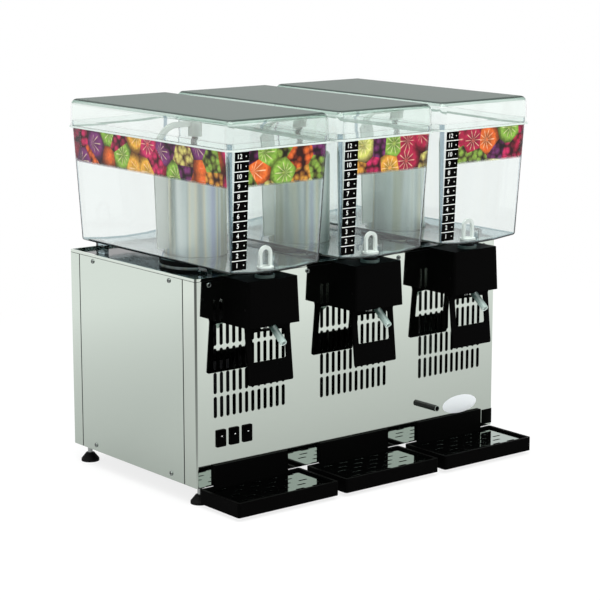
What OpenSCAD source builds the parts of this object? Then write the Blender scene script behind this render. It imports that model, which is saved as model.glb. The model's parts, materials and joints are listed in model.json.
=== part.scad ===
// Countertop juice dispenser: three cooled bowls with stirrers, push taps and drip trays on one steel cabinet.
// Millimetres, +Z up. The taps face -Y. The origin lies on the bench, under the middle of the whole.

/* [Cabinet] */
// Spacing of the bowls
bowl_pitch = 212; // [205:1:240]
// Amount by which the cabinet stops short of the bowl spacing at each end
end_trim = 3; // [0:0.5:5]
// Depth of the cabinet
cabinet_d = 352; // [345:1:380]
// Height of the cabinet without its feet
cabinet_h = 330; // [325:1:400]
// Thickness of the steel sheet
sheet_t = 1; // [0.8:0.1:1.4]
// Outer radius of the upright bends
bend_r = 3; // [2.5:0.5:6]
// Length of the front panel's wrap round each side
front_return = 33; // [28:1:45]
// Length of the rear panel's wrap round each side
rear_return = 28; // [24:1:40]
// Open joint between neighbouring panels
panel_gap = 0.6; // [0.3:0.1:1]
// Clearance between fixed pieces that slip into each other
fit_gap = 0.2; // [0.1:0.05:0.4]
// Height of the fold at the edge of the base pan
pan_fold = 14; // [13:0.5:14.5]
// Thickness of the base pan
pan_t = 1.5; // [1:0.1:2.5]

/* [Deck] */
// Height of the bright rim round the deck
rim_h = 5; // [4:0.5:6]
// Width of the bright rim
rim_w = 3; // [2.8:0.2:6]
// Depth of the frame's skirt behind the panels, from the rim's top
frame_skirt = 16; // [15.5:0.5:20]
// Reach of the frame's ledge under the deck
ledge_reach = 20; // [12:1:20]
// Thickness of the ledge
ledge_t = 1.5; // [1:0.1:2]
// Depth of the deck below the rim
deck_drop = 4; // [2:0.5:4.5]
// Thickness of the deck
deck_t = 3; // [2:0.5:3.5]

/* [Feet] */
// Height of the cabinet above the bench
foot_h = 30; // [28:1:50]
// Distance of each foot from the cabinet's faces
foot_inset = 19; // [17:1:40]
// Radius of a foot's base
cup_r = 15; // [12:0.5:16]
// Radius of a foot's top
cup_top_r = 7; // [6:0.5:9]
// Height of a foot's cup
cup_h = 14; // [11:0.5:18]
// Height of the base of a foot below its flare
cup_base_h = 4; // [2:0.5:5]
// Radius of the threaded stem
stem_r = 4; // [3:0.5:5]
// Height of the stem above the pan
stem_rise = 8; // [4:1:15]
// Height of the lock nut
nut_h = 5; // [3:0.5:7]
// Radius of the lock nut over its corners
nut_r = 7.5; // [6.5:0.5:9]

/* [Screws] */
// Radius of a panel screw's shank
screw_r = 1.8; // [1.4:0.1:1.9]
// Radius of a panel screw's head
screw_head_r = 3.8; // [3:0.1:4]
// Height of a panel screw's head
screw_head_h = 1.7; // [1.2:0.1:2.5]
// Length of a panel screw's shank
screw_l = 7; // [5.5:0.5:9]
// Clearance round a shank
screw_gap = 0.3; // [0.2:0.05:0.4]
// Depth of the upper screws below the rim
screw_drop = 11.5; // [11.2:0.1:12]
// Height of the lower screws above the cabinet's lower edge
screw_rise = 10; // [8:0.5:11]
// Distance of the outer front screws from the sides
screw_side = 26; // [20:1:40]
// Distance of the inner front screws from the line between two bowls
screw_mid = 10; // [6:1:14]
// Distance of a cover's screws from its front edge
cover_screw_front = 36; // [20:1:50]
// Distance of a cover's screws from its rear edge
cover_screw_rear = 40; // [20:1:50]
// Margin of a joint strip round its screw
strip_margin = 9; // [7:0.5:12]
// Depth of the tap housing's screws below the rim
tap_screw_drop = 22; // [21:0.5:26]
// Half spacing of the tap housing's screws
tap_screw_x = 30; // [22:1:34]

/* [Vents] */
// Upright slots across one vent field
vent_columns = 12; // [6:1:14]
// Full rows of slots
vent_rows = 4; // [2:1:4]
// Columns at each side that have one more row
vent_tall_columns = 2; // [0:1:2]
// Width of a slot
vent_w = 6.5; // [4:0.5:7]
// Length of a slot
vent_l = 34; // [24:0.1:35]
// Spacing of the columns
vent_step = 12.14; // [11:0.02:13]
// Spacing of the rows
vent_row_step = 38.2; // [36:0.1:42]
// Height of the lowest slots' ends above the cabinet's lower edge
vent_rise = 107.5; // [100:0.5:115]
// Fields of slots in the rear panel, side by side behind the condenser
rear_vent_fields = 2; // [1:1:2]
// Bar between two rear fields
rear_vent_bar = 20; // [12:1:24]
// Rows of slots in the rear panel
rear_vent_rows = 9; // [4:1:10]
// Length of a rear slot
rear_vent_l = 120; // [80:1:150]
// Spacing of the rear rows
rear_vent_step = 17; // [14:0.5:20]
// Height of the lowest rear slot above the cabinet's lower edge
rear_vent_rise = 40; // [30:1:50]

/* [Bowl] */
// Width of a bowl at its top
bowl_w = 191; // [180:1:196]
// Length of a bowl at its top
bowl_d = 433; // [420:1:445]
// Reach of a bowl in front of the cabinet
bowl_front = 78.5; // [76:0.5:84]
// Height of a bowl from its underside to its flange
bowl_h = 190; // [180:1:240]
// Height of a bowl's underside above the rim
bowl_stand = 14; // [12:0.5:20]
// Inward slope of each wall from top to bottom
bowl_draft = 10; // [6:0.5:11]
// Thickness of a bowl's walls
bowl_wall = 3; // [2:0.5:3.5]
// Radius of a bowl's upright corners
bowl_r = 8.5; // [6:0.5:14]
// Radius of a bowl's floor edges
bowl_floor_r = 5; // [4.5:0.5:12]
// Sag of a bowl's floor towards its middle
bowl_sag = 5; // [1:0.5:5.5]
// Reach of the flange round a bowl
flange_out = 5; // [3.5:0.1:6]
// Thickness of the flange
flange_t = 3; // [2:0.5:4]
// Height of the locating lip above the flange
lip_h = 8; // [5:0.5:12]
// Width of a leg across the bowl
leg_w = 10; // [6:0.5:12]
// Length of a leg along the bowl
leg_l = 22; // [14:1:30]
// Distance of a leg's middle from the bowl's lower side edge
leg_side = 14; // [12:0.5:18]
// Distance of the front legs behind the front panel
leg_front = 17; // [15:1:30]
// Distance of the rear legs before the rear panel
leg_rear = 49; // [20:1:70]
// Radius of the outlet spigot
spigot_r = 8; // [7.5:0.1:8.5]
// Radius of the outlet bore
outlet_r = 6; // [5:0.1:6.5]
// Depth of the spigot's end below the rim
spigot_drop = 16; // [10:1:24]
// Height of the rib beside the outlet
rib_h = 13; // [8:1:20]
// Width of the rib
rib_w = 9; // [6:0.5:14]
// Thickness of the rib
rib_t = 4; // [2:0.5:6]
// Margin of the outlet's flat seat round the valve disc
seat_margin = 1.5; // [1:0.1:3]
// Clearance between a piece that lifts off and its seat
seat_gap = 0.3; // [0.3:0.05:0.5]

/* [Lid] */
// Height of a lid
lid_h = 43; // [36:1:60]
// Thickness of a lid
lid_wall = 1.8; // [1.4:0.1:2.6]
// Height of the band at a lid's lower edge
lid_band_h = 10; // [6:0.5:14]
// Amount by which the band stands proud
lid_step = 0.4; // [0.3:0.1:1]
// Clearance between a lid and the lip's upper edge
lid_gap = 0.4; // [0.3:0.05:0.8]
// Inward slope of a lid's sides
lid_draft = 0.5; // [0:0.25:2]
// Radius of a lid's top edges
lid_top_r = 10.5; // [5:0.5:12]

/* [Cooling and stirring] */
// Radius of the cooling cylinder
evap_r = 50; // [45:0.5:52]
// Height of the cooling cylinder above the deck
evap_h = 163; // [140:1:165]
// Wall of the cooling cylinder
evap_wall = 1.5; // [1:0.1:2.5]
// Radius of the cylinder's top edge
evap_edge_r = 7; // [4:0.5:10]
// Reach of the cylinder's foot flange
evap_flange_out = 11; // [10.5:0.5:13]
// Thickness of the foot flange
evap_flange_t = 2; // [1.5:0.1:3]
// Height of the gasket ring on the flange
gasket_h = 8; // [5:0.5:9]
// Wall of the gasket ring
gasket_wall = 9.5; // [8.5:0.1:10]
// Clearance between the cylinder and what slips round it
evap_gap = 0.5; // [0.3:0.1:0.8]
// Wall of the bowl's collar above the gasket
collar_wall = 8; // [5:0.5:8.5]
// Radius of the drive shaft
shaft_r = 5; // [4:0.1:6]
// Running clearance of shafts and pins
run_gap = 0.06; // [0.03:0.01:0.09]
// Wall of the shaft bush in the cylinder's top
bush_wall = 4; // [3:0.5:6]
// Length of the shaft bush
bush_h = 14; // [8:1:20]
// Height of the shaft's end above the rim
shaft_rise = 215; // [205:1:218]
// Length of the shaft inside its gear case
shaft_sink = 18; // [12:1:28]
// Radius of the stirrer's hub
hub_r = 11; // [9:0.5:14]
// Height of the stirrer's hub
hub_h = 23; // [18:1:30]
// Thickness of the hub above the shaft's end
hub_cap = 6.7; // [4:0.1:9]
// Height of the stirrer's arm
arm_h = 8; // [5:0.5:9]
// Thickness of the stirrer's arm
arm_t = 7; // [4:0.5:9]
// Outer radius of the arm's bend
arm_bend_r = 34; // [28:1:38]
// Length of the arm from the shaft to its bend
arm_l = 38; // [34:1:40]
// Clearance between the blade and the cooling cylinder
blade_gap = 3.5; // [2:0.5:5]
// Reach of the blade at its top
blade_top = 80; // [76:0.5:81]
// Reach of the blade at its lower end
blade_low = 74; // [66:0.5:75]
// Thickness of the blade
blade_t = 3.5; // [2.5:0.5:5]
// Height of the blade's lower end above the bowl's floor
blade_rise = 8; // [4:1:20]
// Width of the stirrer gear case
gear_case_w = 64; // [56:1:80]
// Height of the stirrer gear case
gear_case_h = 36; // [32:1:44]
// Radius of the stirrer motor
motor_r = 24; // [18:1:28]
// Length of the stirrer motor below its gear case
motor_h = 46; // [30:1:50]

/* [Tap] */
// Reach of the outlet in front of the panel
tap_out = 40; // [38.5:0.5:41]
// Width of the tap housing at its top
housing_w = 96; // [93:0.5:100]
// Width that the housing gains towards its lower edge
housing_flare = 5; // [2:0.5:8]
// Reach of the housing at its top
housing_d = 62; // [60.5:0.5:66]
// Reach that the housing gains towards its lower edge
housing_slope = 2.5; // [1:0.5:4]
// Depth of the housing's top below the rim
housing_drop = 2; // [1.5:0.5:4]
// Height of the housing
housing_h = 72; // [69:1:74]
// Wall of the housing
housing_wall = 2.5; // [2:0.1:3]
// Radius of the housing's front edges
housing_r = 4; // [3.2:0.2:6]
// Outer radius of the outlet sleeve
sleeve_r = 10.5; // [10:0.1:10.9]
// Clearance between spigot and sleeve
sleeve_gap = 0.3; // [0.3:0.05:0.5]
// Length of the outlet sleeve below the rim
sleeve_l = 77; // [76:0.5:78]
// Thickness of the sleeve's floor
sleeve_floor = 2.5; // [1.5:0.1:3]
// Reach of the sleeve's collar
sleeve_collar = 5; // [2:0.1:6]
// Height of the sleeve's collar above the rim
collar_rise = 2.5; // [1:0.5:4]
// Radius of the seal round the outlet
seal_r = 12.5; // [11:0.1:14]
// Outer radius of the nozzle
nozzle_r = 5.7; // [5:0.1:5.8]
// Wall of the nozzle
nozzle_wall = 2.1; // [1.2:0.1:2.5]
// Clearance round the nozzle where it leaves the housing
nozzle_gap = 1.2; // [0.5:0.1:1.5]
// Slant of the nozzle from upright
nozzle_slant = 50.9; // [48:0.1:54]
// Length of the nozzle from the sleeve's axis
nozzle_l = 59.3; // [50:0.1:66]
// Depth of the nozzle's start below the rim
nozzle_drop = 61; // [58:0.5:62]
// Radius of the lever's pin
pin_r = 2.5; // [2:0.1:2.8]
// Reach of the lever's pin in front of the panel
pin_out = 54; // [53.5:0.1:54.5]
// Depth of the lever's pin below the rim
pin_drop = 46; // [44:0.5:48]
// Width of the lever
lever_w = 85.5; // [80:0.5:86]
// Thickness of the lever's plate
lever_t = 4; // [3:0.5:5]
// Length of the lever's plate
lever_l = 86.2; // [70:0.1:100]
// Reach of the plate's upper front edge
lever_out = 47.5; // [47:0.1:48]
// Depth of the plate's upper edge below the rim
lever_drop = 79.6; // [79:0.1:81]
// Lean of the plate
lever_lean = 6.06; // [4:0.02:7]
// Width of the lever's side bars
lever_bar = 9.5; // [7:0.5:14]
// Height of the lever's upper bar
lever_top_bar = 5; // [4:0.5:5]
// Radius of the lever's corners
lever_r = 3; // [2:0.5:5]
// Height of the shoulders above the lever's upper bar
shoulder_h = 8; // [6:0.5:10]
// Distance of the shoulders from the lever's middle
shoulder_in = 14; // [13:0.5:18]
// Height of the lever's window
window_h = 46; // [30:1:50]
// Radius of the lever's hubs
lever_hub_r = 4.5; // [4:0.1:4.8]
// Length of a lever hub
lever_hub_l = 15; // [8:0.5:16]
// Thickness of the lever's arms
lever_arm_t = 5; // [3:0.5:7]
// Thickness of the lever's tongue
tongue_t = 2.5; // [1.5:0.1:3]
// Width of the lever's tongue
tongue_w = 18; // [10:1:24]
// Radius of the piston's rod
rod_r = 3; // [2.5:0.1:3.4]
// Radius of the valve disc
disc_r = 13; // [10:0.5:14]
// Thickness of the valve disc
disc_t = 3; // [2:0.5:5]
// Width of the finger loop
loop_w = 24.2; // [20:0.2:26]
// Height of the finger loop above the disc
loop_h = 32; // [20:0.5:36]
// Width of the loop's band
loop_band = 5; // [4:0.5:6.5]
// Thickness of the loop
loop_t = 4.5; // [3:0.5:7]
// Radius of the spring's wire
wire_r = 0.6; // [0.4:0.05:0.6]
// Clearance between the spring and its pin
coil_gap = 0.35; // [0.3:0.05:0.5]
// Turns of the spring
coil_turns = 6; // [4:1:7]
// Spacing of the spring's turns
coil_step = 2; // [1.7:0.1:2.2]

/* [Drip tray] */
// Width of a tray
tray_w = 197; // [180:1:203]
// Reach of a tray in front of the panel
tray_out = 101; // [95:1:115]
// Height of a tray
tray_h = 22.9; // [18:0.1:26]
// Depth of a tray's rim below the cabinet's lower edge
tray_drop = 0.8; // [0:0.2:3]
// Clearance between a tray and the panel
tray_gap = 0.3; // [0.3:0.05:0.6]
// Radius of a tray's corners
tray_r = 4; // [3:0.5:10]
// Radius of the corners inside a tray
tray_in_r = 1.5; // [1:0.5:3]
// Width of a tray's rim
tray_rim = 5; // [5:0.5:8]
// Width of the ledge under the grille
tray_ledge = 3; // [2:0.5:5]
// Thickness of a tray's floor
tray_floor = 2.5; // [2:0.1:4]
// Width of a tray's upright plate
plate_w = 145; // [130:1:160]
// Height of the upright plate above the cabinet's lower edge
plate_h = 33; // [30:1:38]
// Thickness of the upright plate
plate_t = 4.8; // [4.6:0.1:5]
// Thickness of the plate's rear lip, which hooks behind the studs' heads
hook_lip = 1.5; // [1:0.1:1.6]
// Half spacing of a tray's studs
stud_x = 50; // [40:1:60]
// Height of the studs above the cabinet's lower edge
stud_rise = 20; // [18:0.5:22]
// Radius of a stud's neck
stud_r = 3; // [2.5:0.1:3.5]
// Radius of a stud's head
stud_head_r = 5; // [4.5:0.1:5.5]
// Thickness of a stud's head and flange
stud_head_t = 1.5; // [1:0.1:1.7]
// Lift that frees a tray from its studs
unhook = 9; // [8.5:0.1:10]
// Thickness of the grille
grille_t = 1.5; // [1:0.1:2]
// Depth of the grille below the tray's rim
grille_drop = 3.5; // [2:0.1:5]
// Length of a grille slot
grille_slot_l = 17; // [12:0.5:22]
// Width of a grille slot
grille_slot_w = 4; // [3:0.5:6]
// Spacing of the slots along a row
grille_step = 33; // [28:1:40]
// Spacing of the rows of slots
grille_row_step = 17.3; // [14:0.1:20]
// Rows of slots
grille_rows = 5; // [3:1:5]

/* [Switches] */
// Distance of the first switch from the cabinet's left side
switch_side = 46.3; // [42:0.1:60]
// Spacing of the switches
switch_step = 25.5; // [22:0.1:30]
// Height of the switches above the cabinet's lower edge
switch_rise = 74; // [70:0.5:80]
// Width of a switch bezel
bezel_w = 18.5; // [18.5:0.1:21]
// Height of a switch bezel
bezel_h = 27.5; // [27.5:0.1:31]
// Thickness of a switch bezel
bezel_t = 2; // [1.5:0.1:2.2]
// Depth of a switch body behind the panel
switch_d = 18; // [14:1:26]
// Wall of a switch body
switch_wall = 1.2; // [1:0.1:1.3]
// Width of a rocker
rocker_w = 12.6; // [10:0.1:12.6]
// Height of a rocker
rocker_h = 20.4; // [16:0.1:20.4]
// Depth of a rocker's pivot behind the panel
rocker_pivot = 2.5; // [2.2:0.1:3]
// Tilt of a rocker either way
rocker_tilt = 8; // [5:0.5:9]
// Clearance between a rocker's middle and its bezel's face
rocker_lift = 0.2; // [0.1:0.1:0.4]
// Clearance round a rocker
rocker_gap = 0.4; // [0.3:0.05:0.5]
// Radius of a rocker's trunnions
trunnion_r = 1.5; // [1:0.1:1.8]

/* [Drain] */
// Distance of the drain to the right of the middle
drain_x = 161.7; // [158:0.1:166]
// Distance of the drain's upright run behind the panel
drain_in = 26; // [26:0.5:32]
// Height of the drain's outlet above the cabinet's lower edge
drain_rise = 57.8; // [50:0.1:70]
// Reach of the drain in front of the panel
drain_out = 27; // [18:0.5:34]
// Outer radius of the drain pipe
drain_r = 5.15; // [4:0.05:6]
// Wall of the drain pipe
drain_wall = 1.65; // [1:0.05:2]
// Radius of the drain's bend
drain_bend_r = 14; // [10:0.5:16]
// Reach of the drain's flange round the pipe
drain_flange = 4; // [3:0.5:6]
// Thickness of the drain's flange
drain_flange_t = 1.2; // [0.8:0.1:2]

/* [Refrigeration] */
// Distance of the compressor to the right of the middle
compressor_x = 185; // [170:1:200]
// Distance of the compressor behind the front panel
compressor_in = 190; // [170:1:210]
// Radius of the compressor's shell
compressor_r = 68; // [60:1:72]
// Height of the compressor's shell
compressor_h = 150; // [120:1:170]
// Radius of the shell's shoulders
compressor_edge_r = 28; // [15:1:32]
// Width of the compressor's foot plate
compressor_foot_w = 176; // [165:1:190]
// Length of the compressor's foot plate
compressor_foot_d = 110; // [90:1:130]
// Thickness of the compressor's foot plate
compressor_foot_t = 3; // [2:0.5:5]
// Radius of a rubber mount
rubber_r = 10; // [8:0.5:14]
// Height of a rubber mount
rubber_h = 14; // [10:1:20]
// Distance of the condenser's middle to the left of the middle
condenser_x = 130; // [110:1:140]
// Width of the condenser
condenser_w = 300; // [260:1:310]
// Height of the condenser
condenser_h = 195; // [160:1:210]
// Depth of the condenser
condenser_d = 36; // [28:1:44]
// Distance of the condenser from the rear panel
condenser_rear = 24; // [15:1:34]
// Fins of the condenser
fin_count = 22; // [12:1:26]
// Thickness of a fin
fin_t = 0.8; // [0.6:0.1:1.2]
// Rows of tubes through the fins
tube_rows = 4; // [2:1:5]
// Radius of a condenser tube
tube_r = 4.5; // [3.5:0.1:6]
// Radius of the fan
fan_r = 84; // [70:1:88]
// Radius of the fan's hub
fan_hub_r = 17; // [14:1:24]
// Depth of the fan's hub
fan_hub_h = 26; // [20:1:34]
// Distance between the fan and the condenser
fan_gap = 10; // [6:1:16]
// Blades of the fan
fan_blades = 5; // [3:1:7]
// Pitch of the fan's blades
fan_pitch = 28; // [18:1:34]
// Thickness of a fan blade
fan_blade_t = 2; // [1.5:0.1:3]
// Radius of the fan's shaft
fan_shaft_r = 3; // [2.5:0.1:4]
// Radius of the fan's motor
fan_motor_r = 30; // [24:1:36]
// Length of the fan's motor
fan_motor_l = 44; // [34:1:56]
// Width of the fan's bracket
fan_bracket_w = 70; // [62:1:90]
// Thickness of the fan's bracket
fan_bracket_t = 3; // [2:0.5:5]
// Distance of the cable gland to the right of the middle
gland_x = 262; // [240:1:275]
// Height of the cable gland above the cabinet's lower edge
gland_rise = 50; // [40:1:70]
// Radius of the cable gland's bore
gland_bore_r = 4; // [3:0.1:5]
// Wall of the cable gland
gland_wall = 2.4; // [1.5:0.1:3]
// Reach of the cable gland's nuts beyond its wall
gland_nut = 2.8; // [2:0.1:4]
// Reach of the cable gland behind the rear panel
gland_out = 6; // [4:0.2:6.4]

/* [Hidden] */
$fn = 48;
hull_fn = 24;
// Thickness of the slices that a hull spans, and overlap of cuts past a face
skin = 0.01;
over = 1;

SIDES = ["left", "middle", "right"];
BOWL_PIECES = ["lid", "bowl", "evaporator", "drive_shaft", "stirrer", "tap_piston", "spout", "tap_housing",
               "tap_lever", "drip_tray", "drip_grille", "rocker"];

// Cabinet in the whole's frame
bowl_x = [for (k = [-1:1]) k * bowl_pitch];
cabinet_w = 3 * bowl_pitch - 2 * end_trim;
back_reach = bowl_d - bowl_front + flange_out;
panel_y = -(back_reach - tray_out) / 2;
base_z = foot_h;
rim_z = base_z + cabinet_h;
panel_top = rim_z - rim_h;
deck_z = rim_z - deck_drop;
deck_low = deck_z - deck_t;
skirt_inset = sheet_t + fit_gap;
strip_inset = sheet_t;
pan_inset = 2 * sheet_t + fit_gap;
pan_z = base_z + pan_t;

// Bowl, cooling cylinder and stirrer
bowl_y = panel_y - bowl_front + bowl_d / 2;
bowl_z = rim_z + bowl_stand;
flange_z = bowl_z + bowl_h;
lid_z = flange_z + seat_gap;
lid_fit = lid_gap + lid_draft * lip_h / (lid_h - lid_top_r);
lid_w = bowl_w + 2 * (lid_fit + lid_wall + lid_step);
lid_d = bowl_d + 2 * (lid_fit + lid_wall + lid_step);
lid_r = bowl_r + lid_fit + lid_wall;
floor_z = bowl_z + bowl_wall - bowl_sag;
evap_flange_r = evap_r + evap_flange_out;
gasket_z = deck_z + evap_flange_t;
gasket_r = evap_r + evap_gap + gasket_wall;
collar_z = gasket_z + gasket_h + seat_gap;
collar_r = gasket_r;
hub_z = rim_z + shaft_rise + seat_gap + hub_cap - hub_h;
hub_top = hub_z + hub_h;
blade_in = evap_r + blade_gap;
blade_low_z = bowl_z + bowl_wall + blade_rise;
blade_top_z = hub_top - arm_bend_r;

// Tap, measured from the rim at the front panel
sleeve_bore_r = spigot_r + sleeve_gap;
disc_z = floor_z - rim_z + seat_gap;
lever_hub_y = -(pin_out - lever_out) * cos(lever_lean) - (lever_drop - pin_drop) * sin(lever_lean);
lever_hub_z = -(pin_out - lever_out) * sin(lever_lean) + (lever_drop - pin_drop) * cos(lever_lean);
tongue_z = tongue_t - lever_top_bar;
tongue_u = (lever_out - tap_out - rod_r - tongue_z * sin(lever_lean)) / cos(lever_lean);
rod_end = -lever_drop - tongue_u * sin(lever_lean) + tongue_z * cos(lever_lean) + seat_gap;
coil_r = pin_r + coil_gap + wire_r;
coil_x = lever_w / 2 - lever_hub_l - coil_turns * coil_step - 3 * wire_r;

// Drip tray, measured from the cabinet's lower edge at the front panel
tray_d = tray_out - tray_gap;
tray_mid = -tray_gap - tray_d / 2;
grille_low = -tray_drop - grille_drop - grille_t;
ledge_z = grille_low - seat_gap;
stud_gap = 0.3;
stud_neck = tray_gap + hook_lip + stud_gap;
head_room = stud_head_r + 2 * stud_gap;

// Switches and drain
rocker_valley = rocker_pivot + bezel_t + rocker_lift;
rocker_tip = rocker_valley + rocker_h / 2 * tan(rocker_tilt);
rocker_sweep = rocker_h / 2 * cos(rocker_tilt) + rocker_tip * sin(rocker_tilt);
well_w = rocker_w + 2 * rocker_gap;
well_h = 2 * (rocker_sweep + rocker_gap);
switch_w = well_w + 2 * switch_wall;
switch_h = well_h + 2 * switch_wall;
drain_z = base_z + drain_rise;

// Refrigeration inside the cabinet
compressor_z = pan_z + rubber_h;
condenser_y = panel_y + cabinet_d - condenser_rear - condenser_d;
fan_z = pan_z + condenser_h / 2 + 2 * tube_r;
fan_y = condenser_y - fan_gap - fan_hub_h;
gland_r = gland_bore_r + gland_wall;
gland_nut_r = gland_r + gland_nut;

// Rounded rectangle with true arcs, centred
module rounded_rect(w, d, r) {
    square([w - 2 * r, d], center = true);
    square([w, d - 2 * r], center = true);
    for (sx = [-1, 1], sy = [-1, 1])
        translate([sx * (w / 2 - r), sy * (d / 2 - r)])
            circle(r = r);
}

// Upright slot with round ends, centred
module round_slot(w, l) {
    square([w, l - w], center = true);
    for (s = [-1, 1])
        translate([0, s * (l - w) / 2])
            circle(d = w);
}

// Extrudes an outline drawn in XZ from y = 0 towards -Y
module upright(t) rotate([90, 0, 0]) linear_extrude(t) children();

// Extrudes an outline drawn in YZ along X, centred
module crosswise(t) rotate([90, 0, 90]) linear_extrude(t, center = true) children();

// Cylinder along X, centred
module axle(r, l) rotate([0, 90, 0]) cylinder(r = r, h = l, center = true);

// Drafted box on z = 0 with rounded upright edges, rounded floor edges and a floor that sags across its middle
module drafted_tub(w, d, h, draft, r, floor_r, sag = 0)
    hull() for (sy = [-1, 1]) {
        for (sx = [-1, 1])
            translate([sx * (w / 2 - r), sy * (d / 2 - r), h - skin])
                cylinder(r = r, h = skin, $fn = hull_fn);
        for (u = sag > 0 ? [-1:0.5:1] : [-1, 1])
            translate([u * (w / 2 - draft - floor_r), sy * (d / 2 - draft - floor_r), floor_r - sag * (1 - u * u)])
                sphere(r = floor_r, $fn = hull_fn);
    }

// Half section of a round body with one rounded upper edge
module domed_section(r, h, edge_r) {
    square([r - edge_r, h]);
    square([r, h - edge_r]);
    translate([r - edge_r, h - edge_r])
        circle(r = edge_r);
}

module at_bowl(i) translate([bowl_x[i], bowl_y, 0]) children();
module at_tap(i) translate([bowl_x[i], panel_y, rim_z]) children();
module at_outlet(i) translate([bowl_x[i], panel_y - tap_out, rim_z]) children();
module at_tray(i) translate([bowl_x[i], panel_y, base_z]) children();
module at_switch(i)
    translate([switch_side + i * switch_step - cabinet_w / 2, panel_y, base_z + switch_rise]) children();
module at_studs() for (k = [0:2], s = [-1, 1]) at_tray(k) translate([s * stud_x, 0, stud_rise]) children();
module at_feet()
    for (sx = [-1, 1], y = [foot_inset, cabinet_d - foot_inset])
        translate([sx * (cabinet_w / 2 - foot_inset), panel_y + y, 0]) children();

// Cabinet outline drawn in by an inset, and rings of it between two insets
module outline(inset)
    translate([0, panel_y + cabinet_d / 2])
        rounded_rect(cabinet_w - 2 * inset, cabinet_d - 2 * inset, max(bend_r - inset, fit_gap));
module ring(inset, t) difference() {
    outline(inset);
    outline(inset + t);
}
// The stretch of a ring that lies from y0 to y1 behind the front panel
module stretch(y0, y1) intersection() {
    children();
    translate([-cabinet_w, panel_y + y0])
        square([2 * cabinet_w, y1 - y0]);
}

// Screw places, with the outward direction along +Z
module at_front_screws()
    for (s = [-1, 1], x = [cabinet_w / 2 - screw_side, bowl_pitch / 2 - screw_mid])
        translate([s * x, panel_y, rim_z - screw_drop]) rotate([90, 0, 0]) children();
module at_rear_screws()
    for (s = [-1, 1], z = [base_z + screw_rise, rim_z - screw_drop])
        translate([s * (cabinet_w / 2 - screw_side), panel_y + cabinet_d, z]) rotate([-90, 0, 0]) children();
module at_cover_screws(s)
    for (y = [front_return + cover_screw_front, cabinet_d - rear_return - cover_screw_rear],
         z = [base_z + screw_rise, rim_z - screw_drop])
        translate([s * cabinet_w / 2, panel_y + y, z]) rotate([0, s * 90, 0]) children();
module at_tap_screws()
    for (k = [0:2], s = [-1, 1])
        at_tap(k) translate([s * tap_screw_x, sheet_t, -tap_screw_drop]) rotate([-90, 0, 0]) children();
module screw_hole() cylinder(r = screw_r + screw_gap, h = 3 * screw_l, center = true);
module screw_holes() {
    at_front_screws() screw_hole();
    at_rear_screws() screw_hole();
    for (s = [-1, 1]) at_cover_screws(s) screw_hole();
    at_tap_screws() screw_hole();
}

// Clear lid with a proud band at its lower edge
module lid(i) color("Gainsboro", 0.5) at_bowl(i) translate([0, 0, lid_z]) difference() {
    union() {
        linear_extrude(lid_band_h) rounded_rect(lid_w, lid_d, lid_r + lid_step);
        lid_form(0, lid_h);
    }
    translate([0, 0, -over]) lid_form(lid_wall, lid_h - lid_wall + over);
}
module lid_form(inset, h)
    translate([0, 0, h]) mirror([0, 0, 1])
        drafted_tub(lid_w - 2 * lid_step - 2 * inset, lid_d - 2 * lid_step - 2 * inset, h, lid_draft,
                    lid_r - inset, lid_top_r - inset);

// Clear bowl with its flange, lip, legs, collar round the cooling cylinder, and outlet
module bowl(i) color("AliceBlue", 0.4) at_bowl(i) {
    difference() {
        union() {
            translate([0, 0, bowl_z])
                drafted_tub(bowl_w, bowl_d, bowl_h + lip_h, bowl_draft, bowl_r, bowl_floor_r, bowl_sag);
            translate([0, 0, flange_z - flange_t]) linear_extrude(flange_t)
                rounded_rect(bowl_w + 2 * flange_out, bowl_d + 2 * flange_out, bowl_r + flange_out);
            translate([0, 0, collar_z]) cylinder(r = collar_r, h = bowl_z + bowl_wall - collar_z);
            translate([0, panel_y - tap_out - bowl_y, rim_z - spigot_drop])
                cylinder(r = spigot_r, h = spigot_drop + bowl_stand + bowl_wall);
            bowl_legs();
        }
        translate([0, 0, bowl_z + bowl_wall])
            drafted_tub(bowl_w - 2 * bowl_wall, bowl_d - 2 * bowl_wall, bowl_h + lip_h, bowl_draft,
                        bowl_r - bowl_wall, bowl_floor_r - bowl_wall, bowl_sag);
        translate([0, 0, collar_z - over])
            cylinder(r = collar_r - collar_wall, h = bowl_stand + bowl_h);
        translate([0, panel_y - tap_out - bowl_y, rim_z - spigot_drop - over])
            cylinder(r = outlet_r, h = spigot_drop + bowl_stand + bowl_h);
        translate([0, panel_y - tap_out - bowl_y, floor_z]) cylinder(r = disc_r + seat_margin, h = bowl_h);
    }
    outlet_rib();
}
module bowl_legs()
    for (s = [-1, 1], y = [leg_front, cabinet_d - leg_rear])
        translate([s * (bowl_w / 2 - bowl_draft - leg_side) - leg_w / 2, panel_y + y - bowl_y - leg_l / 2,
                   deck_z + seat_gap])
            cube([leg_w, leg_l, bowl_z + bowl_wall - deck_z - seat_gap]);
// Small upright rib beside the outlet, sunk into the floor
module outlet_rib()
    translate([disc_r + seat_margin, panel_y - tap_out - bowl_y - rib_t / 2, floor_z - bowl_wall / 2])
        cube([rib_w, rib_t, rib_h + bowl_wall / 2]);

// Cooling cylinder with its foot flange and the shaft's bush
module evaporator(i) color("Silver") at_bowl(i) translate([0, 0, deck_z]) rotate_extrude() difference() {
    union() {
        difference() {
            domed_section(evap_r, evap_h, evap_edge_r);
            domed_section(evap_r - evap_wall, evap_h - evap_wall, evap_edge_r - evap_wall);
        }
        square([evap_flange_r, evap_flange_t]);
        translate([0, evap_h - bush_h]) square([shaft_r + bush_wall, bush_h]);
    }
    translate([0, evap_flange_t]) square([shaft_r + run_gap, evap_h]);
    translate([0, -over]) square([shaft_r + bush_wall, evap_flange_t + 2 * over]);
}

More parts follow.
